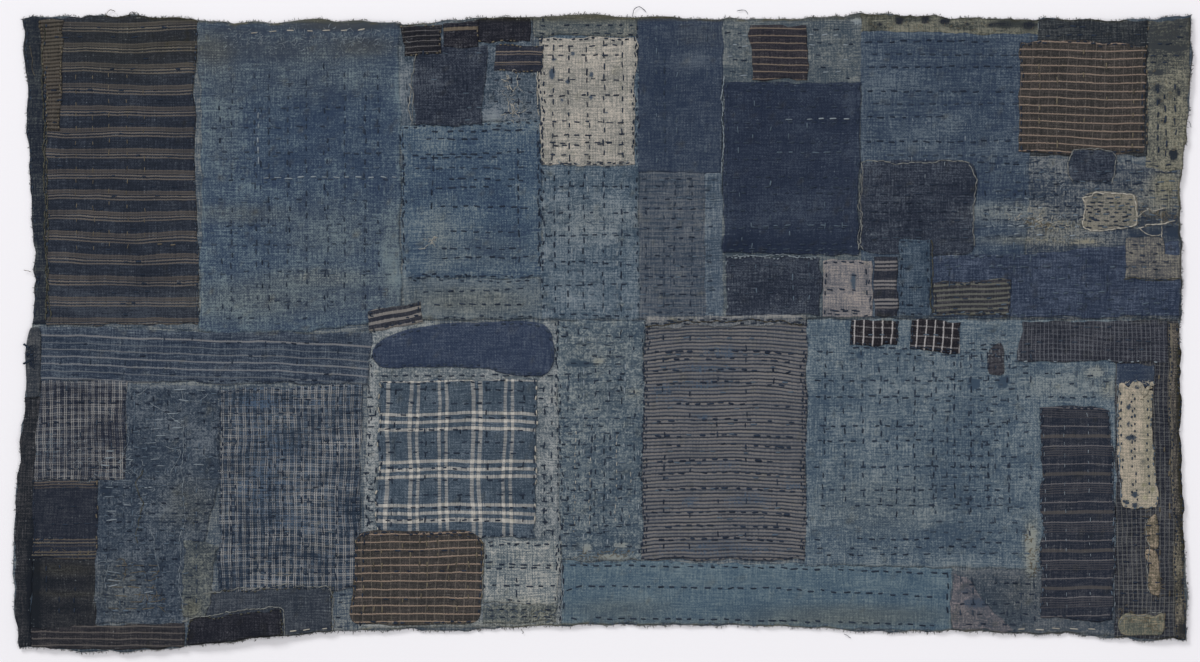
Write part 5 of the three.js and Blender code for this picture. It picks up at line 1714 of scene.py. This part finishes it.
# Frayed parts: thread, from, to, half width, count, length
FRAYS = (
    (PALE, (225, 40), (396, 40), 11, 190, 4.5), (PALE, (495, 80), (538, 115), 14, 90, 6.0),
    (CREAM, (506, 74), (516, 118), 7, 36, 6.0), (PALE, (484, 121), (541, 121), 2.5, 40, 4.0),
    (PALE, (985, 214), (1080, 224), 7, 120, 6.0), (CREAM, (1010, 217), (1075, 226), 4, 36, 6.0),
    (TAN, (1024, 219), (1050, 228), 4, 40, 6.0), (TAN, (1140, 212), (1178, 222), 6, 40, 7.0),
    (PALE, (1030, 165), (1066, 185), 7, 36, 4.5), (PALE, (120, 455), (165, 520), 12, 40, 6.0),
    (TAN, (110, 560), (165, 605), 14, 30, 8.0), (FADED, (135, 395), (215, 440), 30, 90, 4.5),
    (PALE, (60, 440), (115, 478), 12, 40, 5.0), (TAN, (40, 545), (94, 556), 5, 14, 6.0),
    (FADED, (565, 335), (638, 400), 24, 90, 4.5), (TAN, (570, 556), (635, 553), 4, 40, 5.0),
    (PALE, (565, 440), (636, 550), 26, 50, 4.0), (PALE, (985, 335), (1010, 343), 7, 30, 4.0),
    (TAN, (1028, 525), (1034, 575), 4, 40, 5.0), (PALE, (1060, 370), (1115, 395), 9, 40, 5.0),
    (TAN, (1146, 514), (1158, 600), 6, 60, 5.0), (TAN, (1120, 612), (1164, 630), 6, 40, 5.0),
    (FADED, (486, 606), (556, 618), 8, 70, 4.5), (FADED, (365, 380), (372, 530), 5, 50, 4.0),
    (PALE, (550, 165), (636, 165), 2, 30, 4.0), (CREAM, (1120, 384), (1152, 384), 2.5, 24, 4.0),
    (PALE, (1030, 240), (1120, 236), 3, 50, 5.0), (NAVY, (32, 347), (34, 364), 4, 60, 6.0),
    (CREAM, (425, 248), (437, 234), 2.5, 14, 6.0), (TAN, (868, 26), (1030, 28), 5, 40, 4.0),
    (TAN, (1150, 80), (1180, 160), 13, 50, 4.0),
)
# Loose ends that stand off the outline: thread and points
ENDS = (
    (TAN, ((107, 17), (106, 13), (110, 10.5), (115, 11.5), (119, 15))),
    (BROWN, ((130, 17), (129, 13), (132, 11), (135, 13), (134, 17))),
    (NAVY, ((632, 17), (634, 9), (638, 5), (643, 7), (647, 10), (647, 14))),
    (NAVY, ((737, 11), (742, 9.5), (747, 10.5), (748, 17))),
    (NAVY, ((1188, 121), (1190, 124), (1191.5, 129), (1190, 126))),
    (TAN, ((24, 270), (28, 271.5), (33, 272))),
    (NAVY, ((844, 634), (848, 637), (852, 638.5))),
    (BROWN, ((521, 629), (523, 632), (522, 634.5))),
    (TAN, ((30, 46), (34, 60), (33, 72), (38, 80))),
)


class Loose:
    """Threads that aren't stitches: couched cords, loose ends, frayed fibres and fuzz along the outline."""

    CORD_SHAKE, CORD_GIRTH = 1.4, (0.75, 1.0, 1.0, 0.75)
    END_SHAKE, END_WIDTH = 0.1, 0.55
    SHAKE = 0.2  # how far a cord strays from its line, in millimetres
    LEAST_HEIGHT, CORD_RISE = 0.3, 0.25  # of a cord over the table and over the cloth
    CURL = 0.6  # how strongly fibres turn, in radians
    FRAY_RISE, FRAY_GIRTH = (0.2, 1.0, 1.0, 0.4), (0.2, 0.28, 0.26, 0.1)
    FUZZ = ((MOSS, 0.8), (FLAX, 0.2), (NAVY, 0.2))  # how many fibres of a thread grow on each millimetre
    FUZZ_LEFT = 0.3  # how much of this the left edge has
    FUZZ_FALL, FUZZ_GIRTH = (1, 0.95, 0.8, 0.6), (0.32, 0.28, 0.22, 0.1)

    def __init__(self, stack: Stack, materials: dict[Yarn, Material]) -> None:
        """Keeps what the threads lie on and their finishes.

        Args:
            stack: The layers of cloth.
            materials: The threads' materials.
        """
        self.stack = stack
        self.materials = materials
        self.rng = np.random.default_rng(SEED + 5)

    def spin(self, kind: str, yarn: Yarn, flat: ndarray, height: ndarray, girth: ndarray) -> Object:
        """Makes all threads of one kind and colour as one piece.

        Args:
            kind: What they are, for the piece's name.
            yarn: The thread.
            flat: The points of each on the table.
            height: The points' heights.
            girth: The radius at each point.

        Returns:
            The threads' object.
        """
        full = np.concatenate([flat, height[..., None]], -1)
        name = f"{yarn.name.lower()}_{kind}"
        return tubes(name, full, girth, self.rng.random(len(full)), self.materials[yarn])

    def cords(self) -> list[Object]:
        """Couches the cords along their edges and lays the loose ends, one piece for each thread.

        Returns:
            The cords' objects.
        """
        made = []
        for yarn in Yarn:
            paths, widths = [], []
            rows = [(width, points, self.CORD_SHAKE) for y, width, points in CORDS if y is yarn]
            rows += [(self.END_WIDTH, points, self.END_SHAKE) for y, points in ENDS if y is yarn]
            for width, points, shake in rows:
                line = Outline.uneven(np.array(points, float), int(points[0][0] + points[0][1]))
                for start in range(0, len(line) - 3, 3):
                    part = line[start : start + 4]
                    wobble = self.rng.normal(0, self.SHAKE, (4, 2)) * np.array([[0], [1], [1], [0]])
                    paths.append(part + shake * (wobble + self.rng.normal(0, self.SHAKE, (1, 2))))
                    widths.append(width * self.rng.uniform(0.8, 1.2))
            if not paths:
                continue
            flat = np.array(paths)
            height = self.stack.height(flat[..., 0], flat[..., 1])
            height = np.maximum(height, self.LEAST_HEIGHT) + self.CORD_RISE
            girth = np.array(self.CORD_GIRTH) * np.array(widths)[:, None] / 2
            made.append(self.spin("cords", yarn, flat, height, girth))
        return made

    def wisps(self, start: ndarray, heading: ndarray, length: ndarray) -> ndarray:
        """Grows short curling fibres.

        Args:
            start: Where each begins on the table.
            heading: Which way each starts out.
            length: How long each is.

        Returns:
            Four points for each fibre.
        """
        points = [start]
        for _ in range(3):
            heading = heading + self.rng.normal(0, self.CURL, len(start))
            step = length[:, None] / 3 * np.stack([np.cos(heading), np.sin(heading)], 1)
            points.append(points[-1] + step)
        return np.stack(points, 1)

    def frays(self) -> list[Object]:
        """Lays frayed fibres over the worn parts, one piece for each thread.

        Returns:
            The fibres' objects.
        """
        made = []
        rng = self.rng
        for yarn in Yarn:
            paths = []
            for _, a, b, spread, count, length in (row for row in FRAYS if row[0] is yarn):
                share = rng.random((count, 1))
                start = np.array(a) * (1 - share) + np.array(b) * share
                start = start + rng.normal(0, spread / 2, (count, 2))
                longs = length * rng.uniform(0.5, 1.4, count)
                heading = rng.normal(0, 0.6, count) + math.pi * rng.integers(0, 2, count)
                paths.append(self.wisps(start, heading, longs))
            if not paths:
                continue
            flat = np.vstack(paths)
            inside = self.stack.owner[cells(flat[..., 0], flat[..., 1])].min(1) >= 0
            flat = flat[inside]
            rise = rng.uniform(0.1, 0.5, (len(flat), 1)) * np.array(self.FRAY_RISE)
            height = self.stack.height(flat[..., 0], flat[..., 1]) + rise
            girth = np.array(self.FRAY_GIRTH) * rng.uniform(0.6, 1.2, (len(flat), 1))
            made.append(self.spin("frays", yarn, flat, height, girth))
        return made

    def fuzz(self, far: Outline, near: Outline) -> list[Object]:
        """Grows short fibres out of the cloth's whole outline.

        Args:
            far: The outline of the far loom width.
            near: The outline of the near loom width.

        Returns:
            The fibres' objects.
        """
        sides = [(far.far, -90), (near.near, 90), (far.left, 180), (near.left, 180)]
        sides += [(far.right, 0), (near.right, 0)]
        made = []
        for yarn, density in self.FUZZ:
            starts, headings = [], []
            for line, way in sides:
                length = np.linalg.norm(np.diff(line, axis=0), axis=1).sum()
                count = int(length * density * (self.FUZZ_LEFT if way == 180 else 1.0))
                share = np.sort(self.rng.random(count))
                starts.append(Outline.at(line, share) + self.rng.normal(0, 0.5, (len(share), 2)))
                headings.append(math.radians(way) + self.rng.normal(0, 0.8, len(share)))
            start = np.vstack(starts)
            longs = self.rng.gamma(3.0, 0.45, len(start)).clip(0.5, 3.4)
            flat = self.wisps(start, np.concatenate(headings), longs)
            base = self.stack.height(start[:, 0], start[:, 1]) * self.rng.uniform(0.3, 1.0, len(start))
            height = np.maximum(0.4, base)[:, None] * np.array(self.FUZZ_FALL)
            girth = np.array(self.FUZZ_GIRTH) * self.rng.uniform(0.6, 1.2, (len(start), 1))
            made.append(self.spin("fuzz", yarn, flat, height, girth))
        return made


@dataclass(frozen=True)
class Studio:
    """A plain pale floor, soft light from above and the camera that looks straight down.

    Attributes:
        view_width: What the photograph takes in from side to side, in metres.
        view_middle: The middle of the photograph in the row's frame, in metres.
        distance: The camera's height over the cloth, in metres.
        paper: The floor's colour.
    """

    view_width: float = 1.2
    view_middle: tuple[float, float] = (-0.002, 0.002)
    distance: float = 4.0
    paper: str = "faf8fb"

    FLOOR_SIZE, FLOOR_DROP = 9, 0.0006  # in metres
    LAMPS = (("overhead", (0.5, -0.1, 3.2), 3.2, 46.5), ("raking", (-4.4, 6.0, 5.0), 2.6, 410.0))
    ROOM, ROOM_LIGHT = "f6f6fa", 0.36

    def build(self) -> None:
        """Makes the floor, the lights and the camera."""
        bpy.ops.object.select_all(action="DESELECT")
        bpy.ops.mesh.primitive_plane_add(size=self.FLOOR_SIZE, location=(0, 0, -self.FLOOR_DROP))
        floor = alone("floor")
        bpy.ops.object.transform_apply(location=True)
        # Uncoated paper, rolled smooth: matt and nearly white, so that only the cloth is seen
        paper = bpy.data.materials.new("pale_floor_paper")
        paper.use_nodes = True
        shader = paper.node_tree.nodes["Principled BSDF"]
        shader.inputs["Base Color"].default_value = linear(self.paper)
        shader.inputs["Roughness"].default_value = 0.9
        shader.inputs["Specular IOR Level"].default_value = 0.1
        floor.data.materials.append(paper)
        for name, place, size, power in self.LAMPS:
            light = bpy.data.lights.new(name, "AREA")
            light.size, light.energy = size, power
            lamp = bpy.data.objects.new(name, light)
            lamp.location = place
            back = lamp.location.normalized()
            lamp.rotation_euler = back.to_track_quat("Z", "Y").to_euler()
            bpy.context.scene.collection.objects.link(lamp)
        world = bpy.data.worlds.new("soft_room")
        world.use_nodes = True
        background = world.node_tree.nodes["Background"]
        background.inputs[0].default_value = linear(self.ROOM)
        background.inputs[1].default_value = self.ROOM_LIGHT
        scene = bpy.context.scene
        scene.world = world
        scene.view_settings.view_transform = "Standard"
        data = bpy.data.cameras.new("camera")
        data.sensor_width = 36.0
        data.lens = data.sensor_width * self.distance / self.view_width
        camera = bpy.data.objects.new("camera", data)
        camera.location = (*self.view_middle, self.distance)
        scene.collection.objects.link(camera)
        scene.camera = camera


def main() -> None:
    """Cuts, sews and lays the cloth, piece by piece."""
    logging.basicConfig(level=logging.INFO, format="%(message)s")
    Studio().build()
    pieces = {piece.name: piece for piece in PIECES}
    for index, piece in enumerate(PIECES):
        piece.cut(SEED + SEED_STEP * index)
    looms = [pieces[name].outline for name in ("far_loom_width", "near_loom_width")]
    for piece in PIECES:
        if piece.layer == 1 or (piece.layer and piece.has_solid):
            piece.outline.trim(*looms)
    sewing = Sewing()
    sew(sewing, pieces)
    stack = Stack()
    stack.pucker(sewing.holes(), CREASES)
    materials = {}
    for name in dict.fromkeys(piece.cotton for piece in PIECES):
        materials[name] = COTTONS[name].material(f"{name}_cotton")
    for layer in sorted({piece.layer for piece in PIECES}):
        support = stack.support() if layer else stack.top.copy()
        laid = [piece for piece in PIECES if piece.layer == layer]
        for piece in laid:
            made = piece.lay(stack, support, materials)
            LOG.info("piece %s: %d faces", made.name, len(made.data.polygons))
        for piece in laid:
            covered = piece.covered()
            stack.top[covered] = support[covered] + piece.thickness + piece.lift
            stack.owner[covered] = len(stack.names)
            stack.names.append(piece.label)
        if not layer:
            stack.find_hem()
    yarns = {yarn: yarn_material(yarn) for yarn in Yarn}
    loose = Loose(stack, yarns)
    threads = [sewing.make(yarn, stack, yarns[yarn]) for yarn in Yarn]
    threads += loose.cords() + loose.frays() + loose.fuzz(*looms)
    for made in filter(None, threads):
        LOG.info("piece %s: %d faces", made.name, len(made.data.polygons))


if __name__ == "__main__":
    main()
